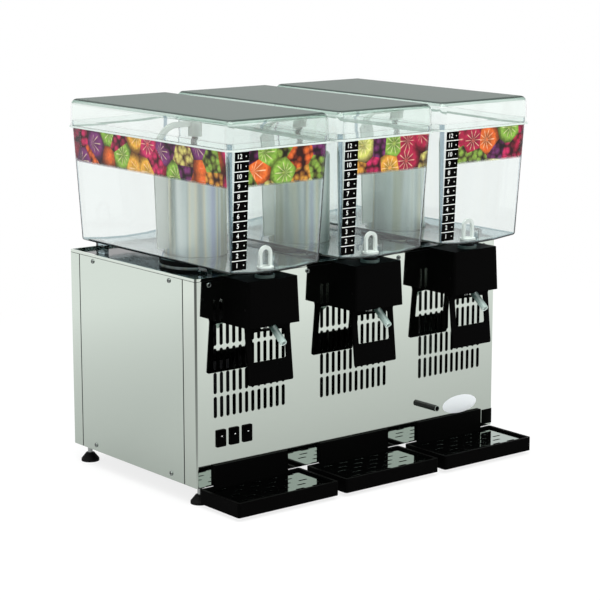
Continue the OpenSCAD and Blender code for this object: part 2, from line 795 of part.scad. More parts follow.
module drive_shaft(i) color("LightSteelBlue") at_bowl(i) translate([0, 0, deck_low - shaft_sink])
    cylinder(r = shaft_r, h = shaft_sink + deck_t + deck_drop + shaft_rise);

// Stirrer: a capped hub on the shaft, an arm that bends down, and one tapered blade
module stirrer(i) color("White") at_bowl(i) difference() {
    union() {
        translate([0, 0, hub_z]) cylinder(r = hub_r, h = hub_h);
        translate([0, arm_t / 2, 0]) upright(arm_t) arm_outline();
        translate([0, blade_t / 2, 0]) upright(blade_t) blade_outline();
    }
    translate([0, 0, hub_z - over]) cylinder(r = shaft_r + seat_gap, h = hub_h - hub_cap + over);
}
module arm_outline() {
    translate([-arm_l, hub_top - arm_h]) square([arm_l, arm_h]);
    translate([-arm_l, hub_top - arm_bend_r]) intersection() {
        difference() {
            circle(r = arm_bend_r);
            circle(r = arm_bend_r - arm_h);
        }
        translate([-arm_bend_r, 0]) square(arm_bend_r);
    }
}
module blade_outline()
    polygon([[-blade_in, blade_low_z], [-blade_low, blade_low_z], [-blade_top, blade_top_z],
             [-blade_top + arm_h, blade_top_z + arm_h], [-blade_in - arm_h, blade_top_z + arm_h],
             [-blade_in, blade_top_z]]);

// Valve piston: a rod down to the lever, a disc over the outlet, and a finger loop
module tap_piston(i) color("WhiteSmoke") at_outlet(i) {
    translate([0, 0, rod_end]) cylinder(r = rod_r, h = disc_z - rod_end + disc_t / 2);
    translate([0, 0, disc_z]) cylinder(r = disc_r, h = disc_t);
    translate([0, loop_t / 2, disc_z + disc_t / 2]) upright(loop_t) difference() {
        loop_outline(loop_w / 2);
        translate([0, -over]) loop_outline(loop_w / 2 - loop_band);
    }
}
module loop_outline(r) {
    top = disc_t / 2 + loop_h - loop_w / 2;
    translate([-r, 0]) square([2 * r, top]);
    translate([0, top]) circle(r = r);
}

// Outlet body: a sleeve for the bowl's spigot with a slanted nozzle
module spout(i) color("White", 0.8) at_outlet(i) difference() {
    union() {
        translate([0, 0, -sleeve_l]) cylinder(r = sleeve_r, h = sleeve_l);
        translate([0, 0, -housing_drop]) cylinder(r = sleeve_r + sleeve_collar, h = housing_drop + collar_rise);
        along_nozzle() cylinder(r = nozzle_r, h = nozzle_l);
    }
    translate([0, 0, -sleeve_l + sleeve_floor]) cylinder(r = sleeve_bore_r, h = sleeve_l + collar_rise);
    translate([0, 0, -sleeve_l - over]) cylinder(r = rod_r + seat_gap, h = sleeve_l);
    along_nozzle() cylinder(r = nozzle_r - nozzle_wall, h = nozzle_l + over);
}
module along_nozzle() translate([0, 0, -nozzle_drop]) rotate([180 - nozzle_slant, 0, 0]) children();

// Drafted tap housing, open below, with bosses for the lever's pin and for its screws
module tap_housing(i) color("#141414") at_tap(i) difference() {
    union() {
        difference() {
            housing_form(0, -housing_drop - housing_h);
            housing_form(housing_wall, -housing_drop - housing_h - over);
        }
        intersection() {
            housing_form(0, -housing_drop - housing_h);
            housing_bosses();
        }
    }
    translate([0, -pin_out, -pin_drop]) axle(pin_r + run_gap / 2, 2 * housing_w);
    translate([0, -tap_out, -housing_drop - 2 * housing_wall])
        cylinder(r = sleeve_r + fit_gap, h = 3 * housing_wall);
    translate([0, -tap_out, 0]) along_nozzle() cylinder(r = nozzle_r + nozzle_gap, h = nozzle_l);
    for (s = [-1, 1]) translate([s * tap_screw_x, 0, -tap_screw_drop]) rotate([90, 0, 0]) screw_hole();
}
module housing_form(inset, low) {
    top = -housing_drop - inset;
    hull() for (s = [-1, 1], level = [[top - skin, 0], [low, 1]]) {
        half = (housing_w + level[1] * housing_flare) / 2 - inset;
        reach = housing_d + level[1] * housing_slope - inset;
        translate([s * (half - housing_r + inset), -reach + housing_r - inset, level[0]])
            cylinder(r = housing_r - inset, h = skin, $fn = hull_fn);
        translate([s * (half - skin) - skin, -inset - skin, level[0]]) cube([2 * skin, skin, skin]);
    }
}
module housing_bosses() {
    boss_l = housing_w - lever_w;
    for (s = [-1, 1]) {
        translate([s * (lever_w / 2 + seat_gap + boss_l / 2), -pin_out, -pin_drop])
            axle(2 * pin_r, boss_l);
        translate([s * tap_screw_x, 0, -tap_screw_drop])
            rotate([90, 0, 0]) cylinder(r = 2.5 * screw_r, h = screw_l + housing_wall);
    }
}

// Push lever: a windowed plate with shoulders on two arms, and a tongue under the piston
module tap_lever(i) color("#101010") at_tap(i)
    translate([0, -lever_out, -lever_drop]) rotate([-lever_lean, 0, 0]) difference() {
        union() {
            translate([0, lever_t, 0]) upright(lever_t) lever_plate();
            for (s = [-1, 1]) {
                translate([s * (lever_w - lever_arm_t) / 2, 0, 0]) crosswise(lever_arm_t) lever_arm();
                translate([s * (lever_w - lever_hub_l) / 2, lever_hub_y, lever_hub_z])
                    axle(lever_hub_r, lever_hub_l);
            }
            translate([-tongue_w / 2, -lever_t, -lever_top_bar])
                cube([tongue_w, lever_out - tap_out + 2 * lever_t, tongue_t]);
        }
        translate([0, lever_hub_y, lever_hub_z]) axle(pin_r + run_gap, lever_w + 2 * over);
    }
module lever_plate() difference() {
    union() {
        translate([0, -lever_l / 2]) rounded_rect(lever_w, lever_l, lever_r);
        for (x = [shoulder_in, -lever_w / 2])
            translate([x, -lever_r]) square([lever_w / 2 - shoulder_in, lever_r + shoulder_h]);
    }
    translate([0, -lever_top_bar - window_h / 2])
        rounded_rect(lever_w - 2 * lever_bar, window_h, lever_r);
    // The middle lies level with the tongue, clear of the rod and the sleeve
    translate([-shoulder_in, tongue_z]) square([2 * shoulder_in, shoulder_h - tongue_z + over]);
}
// Side view of an arm, from the plate's top to the hub
module lever_arm()
    polygon([[0, -2 * lever_t], [lever_t, -2 * lever_t], [lever_t, lever_t],
             [lever_hub_y + lever_hub_r, lever_hub_z], [lever_hub_y - lever_hub_r, lever_hub_z],
             [0, -lever_t / 2]]);

// Drip tray with a ledge for its grille and an upright plate that hooks on the studs
module drip_tray(i) color("#121212") at_tray(i) difference() {
    union() {
        translate([0, tray_mid, -tray_drop - tray_h]) linear_extrude(tray_h) tray_outline(0);
        translate([-plate_w / 2, -tray_gap - plate_t, -tray_drop - tray_h / 2])
            cube([plate_w, plate_t, tray_h / 2 + tray_drop + plate_h]);
    }
    translate([0, tray_mid, -tray_drop - tray_h + tray_floor])
        linear_extrude(tray_h) tray_outline(tray_rim + tray_ledge);
    translate([0, tray_mid, ledge_z]) linear_extrude(tray_h) tray_outline(tray_rim);
    for (s = [-1, 1]) translate([s * stud_x, 0, stud_rise]) {
        upright(stud_neck) {
            stud_way(stud_r + stud_gap);
            translate([0, -unhook]) circle(r = head_room);
        }
        translate([0, stud_gap - stud_neck, 0]) upright(stud_head_t + 2 * stud_gap) stud_way(head_room);
    }
}
module tray_outline(inset)
    rounded_rect(tray_w - 2 * inset, tray_d - 2 * inset, max(tray_r - inset, tray_in_r));
// Outline of the way that a stud takes as the tray lifts
module stud_way(r) {
    translate([-r, -unhook]) square([2 * r, unhook]);
    for (z = [-unhook, 0]) translate([0, z]) circle(r = r);
}

// Polished grille with staggered slots
module drip_grille(i) color("LightGray") at_tray(i) translate([0, tray_mid, grille_low])
    linear_extrude(grille_t) difference() {
        tray_outline(tray_rim + seat_gap);
        for (row = [0:grille_rows - 1], k = [-3:3]) {
            x = grille_step * (k + (row % 2) / 2);
            if (abs(x) + grille_slot_l / 2 < tray_w / 2 - tray_rim - tray_ledge - over)
                translate([x, (row - (grille_rows - 1) / 2) * grille_row_step])
                    rotate(90) round_slot(grille_slot_w, grille_slot_l);
        }
    }

// Rocker with a shallow V front, tilted to one of its two stops
module rocker(i) color("#0c0c0c") at_switch(i) translate([0, rocker_pivot, 0]) rotate([rocker_tilt, 0, 0]) {
    half = rocker_h / 2;
    crosswise(rocker_w)
        polygon([[-rocker_valley, 0], [-rocker_tip, half], [0, half], [1.5 * trunnion_r, half / 2],
                 [1.5 * trunnion_r, -half / 2], [0, -half], [-rocker_tip, -half]]);
    axle(trunnion_r, switch_w - fit_gap);
}
module switch_bodies() color("#1a1a1a") for (k = [0:2]) at_switch(k) difference() {
    union() {
        upright(bezel_t) rounded_rect(bezel_w, bezel_h, bezel_t);
        translate([-switch_w / 2, -over, -switch_h / 2]) cube([switch_w, switch_d + over, switch_h]);
    }
    translate([-well_w / 2, -bezel_t - over, -well_h / 2])
        cube([well_w, switch_d / 2 + bezel_t + over, well_h]);
    translate([0, rocker_pivot, 0]) axle(trunnion_r + run_gap, switch_w + over);
}

module bowl_gaskets() color("#181818") for (k = [0:2]) at_bowl(k) translate([0, 0, gasket_z]) difference() {
    cylinder(r = gasket_r, h = gasket_h);
    translate([0, 0, -over]) cylinder(r = evap_r + evap_gap, h = gasket_h + 2 * over);
}

// Rubber rings between the bowls' outlets and the spouts' collars
module outlet_seals() color("#181818") for (k = [0:2]) at_outlet(k) translate([0, 0, collar_rise]) difference() {
    seal_h = bowl_stand - bowl_sag - collar_rise - seat_gap;
    cylinder(r = seal_r, h = seal_h);
    translate([0, 0, -over]) cylinder(r = sleeve_bore_r, h = seal_h + 2 * over);
}

// Geared stirrer motors hung under the deck
module stirrer_motors() color("DimGray") for (k = [0:2]) at_bowl(k) difference() {
    union() {
        translate([0, 0, deck_low - gear_case_h]) linear_extrude(gear_case_h)
            rounded_rect(gear_case_w, gear_case_w, gear_case_w / 8);
        translate([0, 0, deck_low - gear_case_h - motor_h]) cylinder(r = motor_r, h = motor_h);
    }
    translate([0, 0, deck_low - shaft_sink - seat_gap]) cylinder(r = shaft_r + run_gap, h = gear_case_h);
}

module lever_pins() color("Silver") for (k = [0:2]) at_tap(k) translate([0, -pin_out, -pin_drop])
    axle(pin_r, housing_w + housing_flare * (pin_drop - housing_drop) / housing_h - over);

// Torsion springs: each is one unbroken wire wound round the pin, with straight ends
coil_sides = 6;
coil_rings = 8;
coil_end = 4 * wire_r;
coil_count = coil_turns * coil_rings;
function coil_point(n) =
    let (turn = n / coil_rings, a = 360 * turn)
    [coil_x + turn * coil_step, coil_r * cos(a), coil_r * sin(a)];
// The ends leave the coil along its tangents, to the front
coil_path = concat([coil_point(0) + [0, 0, -coil_end]],
                   [for (n = [0:coil_count]) coil_point(n)],
                   [coil_point(coil_count) + [0, 0, coil_end]]);
coil_clear = min([for (a = [0:coil_count], b = [a + coil_rings - 1:1:coil_count])
    norm(coil_point(a) - coil_point(b))]) - 2 * wire_r;
module lever_springs() color("LightGray") for (k = [0:2]) at_tap(k) translate([0, -pin_out, -pin_drop])
    wire(coil_path, wire_r, coil_sides);
// Sweeps a round wire along points, with each ring square to the run of the wire
module wire(path, r, sides) {
    last = len(path) - 1;
    points = [for (n = [0:last])
        let (run = path[min(n + 1, last)] - path[max(n - 1, 0)],
             u = run / norm(run),
             side = cross(u, [1, 0, 0]) / norm(cross(u, [1, 0, 0])),
             up = cross(side, u))
        for (m = [0:sides - 1]) path[n] + r * (cos(360 * m / sides) * side + sin(360 * m / sides) * up)];
    walls = [for (n = [0:last - 1], m = [0:sides - 1])
        let (a = n * sides + m, b = n * sides + (m + 1) % sides)
        each [[a, b, b + sides], [a, b + sides, a + sides]]];
    caps = [for (m = [1:sides - 2])
        each [[0, m + 1, m], [last * sides, last * sides + m, last * sides + m + 1]]];
    polyhedron(points, concat(walls, caps));
}

// Studs in the front panel that the trays hang on
module tray_studs() color("Silver") at_studs() {
    translate([0, sheet_t, 0]) rotate([90, 0, 0]) cylinder(r = stud_r, h = sheet_t + stud_neck + stud_head_t);
    translate([0, -stud_neck, 0]) rotate([90, 0, 0]) cylinder(r = stud_head_r, h = stud_head_t);
    translate([0, sheet_t + stud_head_t, 0]) rotate([90, 0, 0]) cylinder(r = stud_head_r, h = stud_head_t);
}

// Folded pan that carries the feet and the machinery
module base_pan() color("LightSlateGray") difference() {
    translate([0, 0, base_z]) {
        linear_extrude(pan_t) outline(pan_inset);
        linear_extrude(pan_fold) ring(pan_inset, pan_t);
    }
    at_feet() cylinder(r = stem_r + fit_gap, h = 2 * foot_h);
    screw_holes();
}

// Panel that wraps round both sides, with strips set in behind the side covers
module wrapped_panel(y0, y1, strip0, strip1) {
    translate([0, 0, base_z]) linear_extrude(panel_top - base_z) stretch(y0, y1) ring(0, sheet_t);
    translate([0, 0, base_z]) linear_extrude(cabinet_h - frame_skirt - fit_gap)
        stretch(strip0, strip1) ring(strip_inset, sheet_t);
}
module front_panel() color("Silver") difference() {
    wrapped_panel(-over, front_return, front_return - strip_margin,
                  front_return + cover_screw_front + strip_margin);
    translate([0, panel_y + 2 * sheet_t, 0]) upright(3 * sheet_t) panel_openings();
    screw_holes();
}
// Front view of the openings for air, switches, studs and the drain
module panel_openings() {
    for (k = [0:2]) {
        translate([bowl_x[k], base_z + vent_rise + vent_l / 2]) vent_field();
        translate([switch_side + k * switch_step - cabinet_w / 2, base_z + switch_rise])
            square([switch_w + 2 * fit_gap, switch_h + 2 * fit_gap], center = true);
        for (s = [-1, 1]) translate([bowl_x[k] + s * stud_x, base_z + stud_rise]) circle(r = stud_r + fit_gap);
    }
    translate([drain_x, drain_z]) circle(r = drain_r + fit_gap);
}
module vent_field() for (c = [0:vent_columns - 1]) {
    edge = min(c, vent_columns - 1 - c);
    rows = vent_rows + (edge < vent_tall_columns ? 1 : 0);
    for (r = [0:rows - 1])
        translate([(c - (vent_columns - 1) / 2) * vent_step, r * vent_row_step])
            round_slot(vent_w, vent_l);
}
module rear_panel() color("Silver") difference() {
    wrapped_panel(cabinet_d - rear_return, cabinet_d + over,
                  cabinet_d - rear_return - cover_screw_rear - strip_margin,
                  cabinet_d - rear_return + strip_margin);
    translate([0, panel_y + cabinet_d + sheet_t, 0]) upright(3 * sheet_t) {
        for (k = [0:rear_vent_fields - 1], r = [0:rear_vent_rows - 1])
            translate([(k - (rear_vent_fields - 1) / 2) * (rear_vent_l + rear_vent_bar) - condenser_x,
                       base_z + rear_vent_rise + r * rear_vent_step])
                rotate(90) round_slot(vent_w, rear_vent_l);
        translate([gland_x, base_z + gland_rise]) circle(r = gland_r + fit_gap);
    }
    screw_holes();
}
module side_cover(s) color("Gainsboro") difference() {
    translate([0, 0, base_z]) linear_extrude(panel_top - base_z) intersection() {
        stretch(front_return + panel_gap, cabinet_d - rear_return - panel_gap) ring(0, sheet_t);
        translate([s > 0 ? 0 : -cabinet_w, -cabinet_d]) square([cabinet_w, 2 * cabinet_d]);
    }
    screw_holes();
}

// Bright rim, with a skirt behind the panels and a ledge under the deck
module top_frame() color("Silver") difference() {
    union() {
        translate([0, 0, panel_top]) linear_extrude(rim_h) ring(0, rim_w);
        translate([0, 0, rim_z - frame_skirt]) linear_extrude(frame_skirt) ring(skirt_inset, rim_w - skirt_inset);
        translate([0, 0, deck_low - ledge_t]) linear_extrude(ledge_t) ring(skirt_inset, ledge_reach - skirt_inset);
    }
    screw_holes();
}
module deck() color("#151515") translate([0, 0, deck_low]) linear_extrude(deck_t) difference() {
    outline(rim_w + fit_gap);
    for (k = [0:2]) translate([bowl_x[k], bowl_y]) circle(r = shaft_r + bush_wall);
    translate([drain_x, panel_y + drain_in]) circle(r = drain_r + fit_gap);
}

// Flared feet on threaded stems with lock nuts
module feet() color("#161616") at_feet() rotate_extrude() difference() {
    polygon([[0, 0], [cup_r, 0], [cup_r, cup_base_h], [cup_top_r, cup_h], [0, cup_h]]);
    translate([0, cup_h / 2]) square([stem_r + fit_gap, cup_h]);
}
module foot_stems() color("Silver") at_feet() {
    translate([0, 0, cup_h / 2]) cylinder(r = stem_r, h = pan_z + stem_rise - cup_h / 2);
    translate([0, 0, base_z - nut_h]) cylinder(r = nut_r, h = nut_h, $fn = 6);
}

module panel_screws() color("Silver") {
    at_front_screws() panel_screw();
    at_rear_screws() panel_screw();
    for (s = [-1, 1]) at_cover_screws(s) panel_screw();
    at_tap_screws() panel_screw();
}
module panel_screw() {
    translate([0, 0, -screw_l]) cylinder(r = screw_r, h = screw_l + screw_head_h / 2);
    rotate_extrude() domed_section(screw_head_r, screw_head_h, screw_head_h / 2);
}

// Drain from the deck, down behind the front panel and out above the right tray
module drain_pipe() color("#3a3a3a") translate([drain_x, panel_y, 0]) difference() {
    union() {
        drain_run(drain_r, 0);
        translate([0, drain_in, deck_z]) cylinder(r = drain_r + drain_flange, h = drain_flange_t);
    }
    drain_run(drain_r - drain_wall, over);
}
module drain_run(r, extra) {
    bend_y = drain_in - drain_bend_r;
    translate([0, drain_in, drain_z + drain_bend_r])
        cylinder(r = r, h = deck_z - drain_z - drain_bend_r + drain_flange_t + extra);
    translate([0, bend_y, drain_z + drain_bend_r]) rotate([90, 0, 90]) rotate([0, 0, -90])
        rotate_extrude(angle = 90) translate([drain_bend_r, 0]) circle(r = r);
    translate([0, bend_y, drain_z]) rotate([90, 0, 0]) cylinder(r = r, h = bend_y + drain_out + extra);
}

// Gland for a mains lead
module cable_gland() color("#202020")
    translate([gland_x, panel_y + cabinet_d, base_z + gland_rise]) rotate([-90, 0, 0]) rotate_extrude()
        difference() {
            union() {
                translate([0, -2 * sheet_t]) square([gland_r, 2 * sheet_t + gland_out / 2]);
                polygon([[0, 0], [gland_nut_r, 0], [gland_nut_r, gland_out / 2], [gland_r, gland_out],
                         [0, gland_out]]);
                translate([0, -sheet_t - gland_out]) square([gland_nut_r, gland_out]);
            }
            translate([0, -2 * gland_out]) square([gland_bore_r, 4 * gland_out]);
        }

// Compressor with domed ends on a foot plate, on rubber mounts
module compressor() color("#1c1c1c") translate([compressor_x, panel_y + compressor_in, compressor_z]) {
    linear_extrude(compressor_foot_t) rounded_rect(compressor_foot_w, compressor_foot_d, rubber_r);
    rotate_extrude() {
        domed_section(compressor_r, compressor_h, compressor_edge_r);
    }
}
module compressor_mounts() color("#252525") translate([compressor_x, panel_y + compressor_in, pan_z])
    for (sx = [-1, 1], sy = [-1, 1])
        translate([sx * (compressor_foot_w / 2 - rubber_r), sy * (compressor_foot_d / 2 - rubber_r), 0])
            cylinder(r = rubber_r, h = rubber_h);

// Condenser: fins on rows of tubes between two end plates that stand on the pan
module condenser() color("DarkGray") translate([-condenser_x, condenser_y, pan_z]) {
    plate_x = condenser_w / 2 - 2 * fin_t;
    for (s = [-1, 1])
        translate([s * plate_x - fin_t, 0, 0]) cube([2 * fin_t, condenser_d, condenser_h]);
    for (n = [1:fin_count])
        translate([plate_x * (2 * n / (fin_count + 1) - 1) - fin_t / 2, 0, 2 * tube_r])
            cube([fin_t, condenser_d, condenser_h - 2 * tube_r]);
    for (n = [1:tube_rows])
        translate([0, condenser_d / 2, condenser_h * n / (tube_rows + 1)]) axle(tube_r, condenser_w);
}

// Fan motor on its bracket, and the fan between motor and condenser
module fan_motor() color("#2a2a2a") translate([-condenser_x, 0, 0]) {
    back_y = fan_y - seat_gap;
    front_y = back_y - fan_motor_l;
    translate([0, back_y, fan_z]) rotate([90, 0, 0]) cylinder(r = fan_motor_r, h = fan_motor_l);
    translate([0, fan_y + fan_hub_h, fan_z]) rotate([90, 0, 0])
        cylinder(r = fan_shaft_r, h = fan_hub_h + seat_gap + over);
    translate([-fan_bracket_w / 2, front_y - fan_bracket_t, pan_z])
        cube([fan_bracket_w, fan_bracket_t, fan_z + fan_motor_r - pan_z]);
    translate([-fan_bracket_w / 2, front_y - fan_bracket_t, pan_z])
        cube([fan_bracket_w, fan_motor_l, fan_bracket_t]);
}
module fan_rotor() color("#303030") translate([-condenser_x, fan_y, fan_z]) rotate([-90, 0, 0]) difference() {
    union() {
        cylinder(r = fan_hub_r, h = fan_hub_h);
        intersection() {
            cylinder(r = fan_r, h = fan_hub_h);
            for (n = [0:fan_blades - 1]) rotate(360 * n / fan_blades) fan_blade();
        }
    }
    translate([0, 0, -over]) cylinder(r = fan_shaft_r + run_gap, h = fan_hub_h + 2 * over);
}
module fan_blade()
    translate([fan_hub_r / 2, 0, fan_hub_h / 2]) rotate([fan_pitch, 0, 0])
        translate([0, -fan_r / 4, -fan_blade_t / 2]) cube([fan_r, fan_r / 2, fan_blade_t]);

echo(spring_turns_apart = coil_clear);

for (i = [0:2]) {
    lid(i);
    bowl(i);
    evaporator(i);
    drive_shaft(i);
    stirrer(i);
    tap_piston(i);
    spout(i);
    tap_housing(i);
    tap_lever(i);
    drip_tray(i);
    drip_grille(i);
    rocker(i);
}
bowl_gaskets();
outlet_seals();
stirrer_motors();
lever_pins();
lever_springs();
switch_bodies();
tray_studs();
base_pan();
front_panel();
side_cover(-1);  // left_cover
side_cover(1);  // right_cover
rear_panel();
top_frame();
deck();
feet();
foot_stems();
panel_screws();
drain_pipe();
cable_gland();
compressor();
compressor_mounts();
condenser();
fan_motor();
fan_rotor();
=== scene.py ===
"""Looks of a countertop juice dispenser: clear bowls with stirrers and taps on a polished steel cabinet."""

import json
import math

import bmesh
import bpy
from mathutils import Matrix, Vector
from mathutils.bvhtree import BVHTree


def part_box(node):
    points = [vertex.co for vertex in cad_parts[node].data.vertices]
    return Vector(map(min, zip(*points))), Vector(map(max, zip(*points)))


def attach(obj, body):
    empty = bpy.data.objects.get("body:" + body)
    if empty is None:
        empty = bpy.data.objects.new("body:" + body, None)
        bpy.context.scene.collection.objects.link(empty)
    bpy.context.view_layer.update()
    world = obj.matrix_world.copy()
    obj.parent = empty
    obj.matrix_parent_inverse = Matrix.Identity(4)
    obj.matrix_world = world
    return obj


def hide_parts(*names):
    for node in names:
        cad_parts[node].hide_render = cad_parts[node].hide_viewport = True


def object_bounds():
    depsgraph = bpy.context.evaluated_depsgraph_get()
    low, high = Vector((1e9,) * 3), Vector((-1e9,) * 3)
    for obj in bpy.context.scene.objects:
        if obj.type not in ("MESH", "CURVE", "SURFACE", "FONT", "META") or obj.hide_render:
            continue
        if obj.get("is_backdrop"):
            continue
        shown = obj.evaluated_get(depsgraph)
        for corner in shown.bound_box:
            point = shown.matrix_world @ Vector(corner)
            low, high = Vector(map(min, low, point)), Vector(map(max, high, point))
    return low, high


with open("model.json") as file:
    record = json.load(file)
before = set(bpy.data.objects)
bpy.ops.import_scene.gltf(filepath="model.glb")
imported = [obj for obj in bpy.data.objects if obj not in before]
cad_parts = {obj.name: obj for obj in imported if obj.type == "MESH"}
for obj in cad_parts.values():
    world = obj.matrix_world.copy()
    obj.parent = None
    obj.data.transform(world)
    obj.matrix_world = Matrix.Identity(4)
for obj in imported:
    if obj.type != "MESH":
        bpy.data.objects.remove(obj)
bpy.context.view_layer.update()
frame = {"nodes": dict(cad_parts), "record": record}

MM = 0.001
SIDES = ("left", "middle", "right")

# Places that the frame gives
PANEL_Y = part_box("front_panel")[0].y
REAR_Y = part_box("rear_panel")[1].y
RIM_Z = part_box("top_frame")[1].z
BASE_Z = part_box("front_panel")[0].z
SIDE_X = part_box("front_panel")[1].x

# Bowl rim: a locating lip above a flange
FLANGE_T = 3 * MM
LIP_H = 8 * MM
FLANGE_LOW_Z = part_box("left_bowl")[1].z - LIP_H - FLANGE_T

# Camera of the view, fitted to the corners of cabinet, lids and trays: place, angles in degrees, lens in mm
CAMERA_X = -2065.8 * MM
CAMERA_OUT = 2441.6 * MM
CAMERA_RISE = 566.5 * MM
CAMERA_YAW, CAMERA_PITCH = 38.68, -11.27
CAMERA_LENS, CAMERA_SENSOR = 120.9, 36
CAMERA_REACH = 50


def srgb(code):
    """Linear colour of an sRGB hex value."""
    def linear(part):
        value = int(part, 16) / 255
        return value / 12.92 if value <= 0.04045 else ((value + 0.055) / 1.055) ** 2.4

    return tuple(linear(code[k:k + 2]) for k in (1, 3, 5)) + (1.0,)


def add(tree, kind, settings=None, values=None, links=None):
    """One node with its settings, its socket values and the outputs that feed it."""
    node = tree.nodes.new(kind)
    for key, value in (settings or {}).items():
        setattr(node, key, value)
    for key, value in (values or {}).items():
        node.inputs[key].default_value = value
    for key, output in (links or {}).items():
        tree.links.new(output, node.inputs[key])
    return node


def blank_material(name):
    """A material with only its output and its Principled shader."""
    material = bpy.data.materials.new(name)
    material.use_nodes = True
    tree = material.node_tree
    tree.nodes.clear()
    shader = add(tree, "ShaderNodeBsdfPrincipled")
    output = add(tree, "ShaderNodeOutputMaterial", links={"Surface": shader.outputs[0]})
    return material, tree, shader, output


def set_ramp(node, stops, interpolation="LINEAR"):
    """Gives a colour ramp its stops, as places and sRGB colours."""
    ramp = node.color_ramp
    ramp.interpolation = interpolation
    while len(ramp.elements) < len(stops):
        ramp.elements.new(0.5)
    for element, (place, code) in zip(ramp.elements, stops):
        element.position = place
        element.color = srgb(code)


def object_coords(tree, scale=(1, 1, 1)):
    """Object coordinates, stretched along the axes."""
    source = add(tree, "ShaderNodeTexCoord")
    mapping = add(tree, "ShaderNodeMapping", links={"Vector": source.outputs["Object"]})
    mapping.inputs["Scale"].default_value = scale
    return mapping.outputs[0]


# Camera
scene = bpy.context.scene
scene.view_settings.view_transform = "Standard"
# Light crosses up to six clear walls, and runs along their rims
CLEAR_BOUNCES = 40
scene.cycles.max_bounces = CLEAR_BOUNCES
scene.cycles.transmission_bounces = CLEAR_BOUNCES
yaw, pitch = math.radians(CAMERA_YAW), math.radians(CAMERA_PITCH)
forward = Vector((math.sin(yaw) * math.cos(pitch), math.cos(yaw) * math.cos(pitch), math.sin(pitch)))
ahead = Vector((forward.x, forward.y, 0)).normalized()
camera = bpy.data.objects.new("camera", bpy.data.cameras.new("camera"))
camera.data.lens = CAMERA_LENS
camera.data.sensor_width = CAMERA_SENSOR
camera.data.clip_end = CAMERA_REACH
camera.location = (CAMERA_X, PANEL_Y - CAMERA_OUT, RIM_Z + CAMERA_RISE)
camera.rotation_mode = "QUATERNION"
camera.rotation_quaternion = forward.to_track_quat("-Z", "Y")
scene.collection.objects.link(camera)
scene.camera = camera


# Materials

def steel_sheet(name, code, roughness, grain_mm, grain_depth, wave_depth):
    """Rolled stainless sheet: fine rolling grain along the sheet, and the faint waviness of a thin panel."""
    material, tree, shader, _ = blank_material(name)
    long_mm = 60 * grain_mm
    grain = add(tree, "ShaderNodeTexNoise", values={"Scale": 1.0, "Detail": 3.0}, links={
        "Vector": object_coords(tree, (1 / (long_mm * MM), 1 / (long_mm * MM), 1 / (grain_mm * MM)))})
    wave_mm = 160
    wave = add(tree, "ShaderNodeTexNoise", values={"Scale": 1 / (wave_mm * MM), "Detail": 0.0}, links={
        "Vector": object_coords(tree)})
    spread = add(tree, "ShaderNodeMapRange", values={"To Min": 0.7 * roughness, "To Max": 1.3 * roughness},
                 links={"Value": grain.outputs[0]})
    sheet_wave = add(tree, "ShaderNodeBump", values={"Strength": 1.0, "Distance": wave_depth},
                     links={"Height": wave.outputs[0]})
    fine = add(tree, "ShaderNodeBump", values={"Strength": 0.3, "Distance": grain_depth},
               links={"Height": grain.outputs[0], "Normal": sheet_wave.outputs[0]})
    shader.inputs["Base Color"].default_value = srgb(code)
    shader.inputs["Metallic"].default_value = 1.0
    tree.links.new(spread.outputs[0], shader.inputs["Roughness"])
    tree.links.new(fine.outputs[0], shader.inputs["Normal"])
    return material


def moulded_plastic(name, code, roughness, specular, grit_mm=0.6, speckle=0.15):
    """Moulded plastic: an even colour with the fine spark-eroded grain of the mould.

    The grain is drawn a little coarser than it is, so that it shows.
    """
    material, tree, shader, _ = blank_material(name)
    grain = add(tree, "ShaderNodeTexNoise", values={"Scale": 1 / (grit_mm * MM), "Detail": 2.0},
                links={"Vector": object_coords(tree)})
    shade = add(tree, "ShaderNodeMapRange", values={"To Min": 1 - speckle, "To Max": 1 + speckle},
                links={"Value": grain.outputs[0]})
    tone = add(tree, "ShaderNodeMix", {"data_type": "RGBA", "blend_type": "MULTIPLY"},
               values={"Factor": 1.0, 6: srgb(code)}, links={7: shade.outputs[0]})
    bump = add(tree, "ShaderNodeBump", values={"Strength": 0.15, "Distance": 0.05 * MM},
               links={"Height": grain.outputs[0]})
    tree.links.new(tone.outputs[2], shader.inputs["Base Color"])
    shader.inputs["Roughness"].default_value = roughness
    shader.inputs["Specular IOR Level"].default_value = specular
    tree.links.new(bump.outputs[0], shader.inputs["Normal"])
    return material


def clear_plastic(name, code, roughness, ripple_depth):
    """Clear polycarbonate: it bends light at its edges, with the faint flow ripple of a long moulding."""
    material, tree, shader, output = blank_material(name)
    ripple_mm = 55
    ripple = add(tree, "ShaderNodeTexNoise", values={"Scale": 1 / (ripple_mm * MM), "Detail": 1.0},
                 links={"Vector": object_coords(tree)})
    bump = add(tree, "ShaderNodeBump", values={"Strength": 1.0, "Distance": ripple_depth},
               links={"Height": ripple.outputs[0]})
    shader.inputs["Base Color"].default_value = srgb(code)
    shader.inputs["Roughness"].default_value = roughness
    shader.inputs["IOR"].default_value = 1.5
    shader.inputs["Transmission Weight"].default_value = 1.0
    tree.links.new(bump.outputs[0], shader.inputs["Normal"])
    # Light for the pieces inside passes straight through
    path = add(tree, "ShaderNodeLightPath")
    through = add(tree, "ShaderNodeBsdfTransparent", values={"Color": srgb(code)})
    mixed = add(tree, "ShaderNodeMixShader", links={0: path.outputs["Is Shadow Ray"], 1: shader.outputs[0],
                                                    2: through.outputs[0]})
    tree.links.new(mixed.outputs[0], output.inputs["Surface"])
    return material


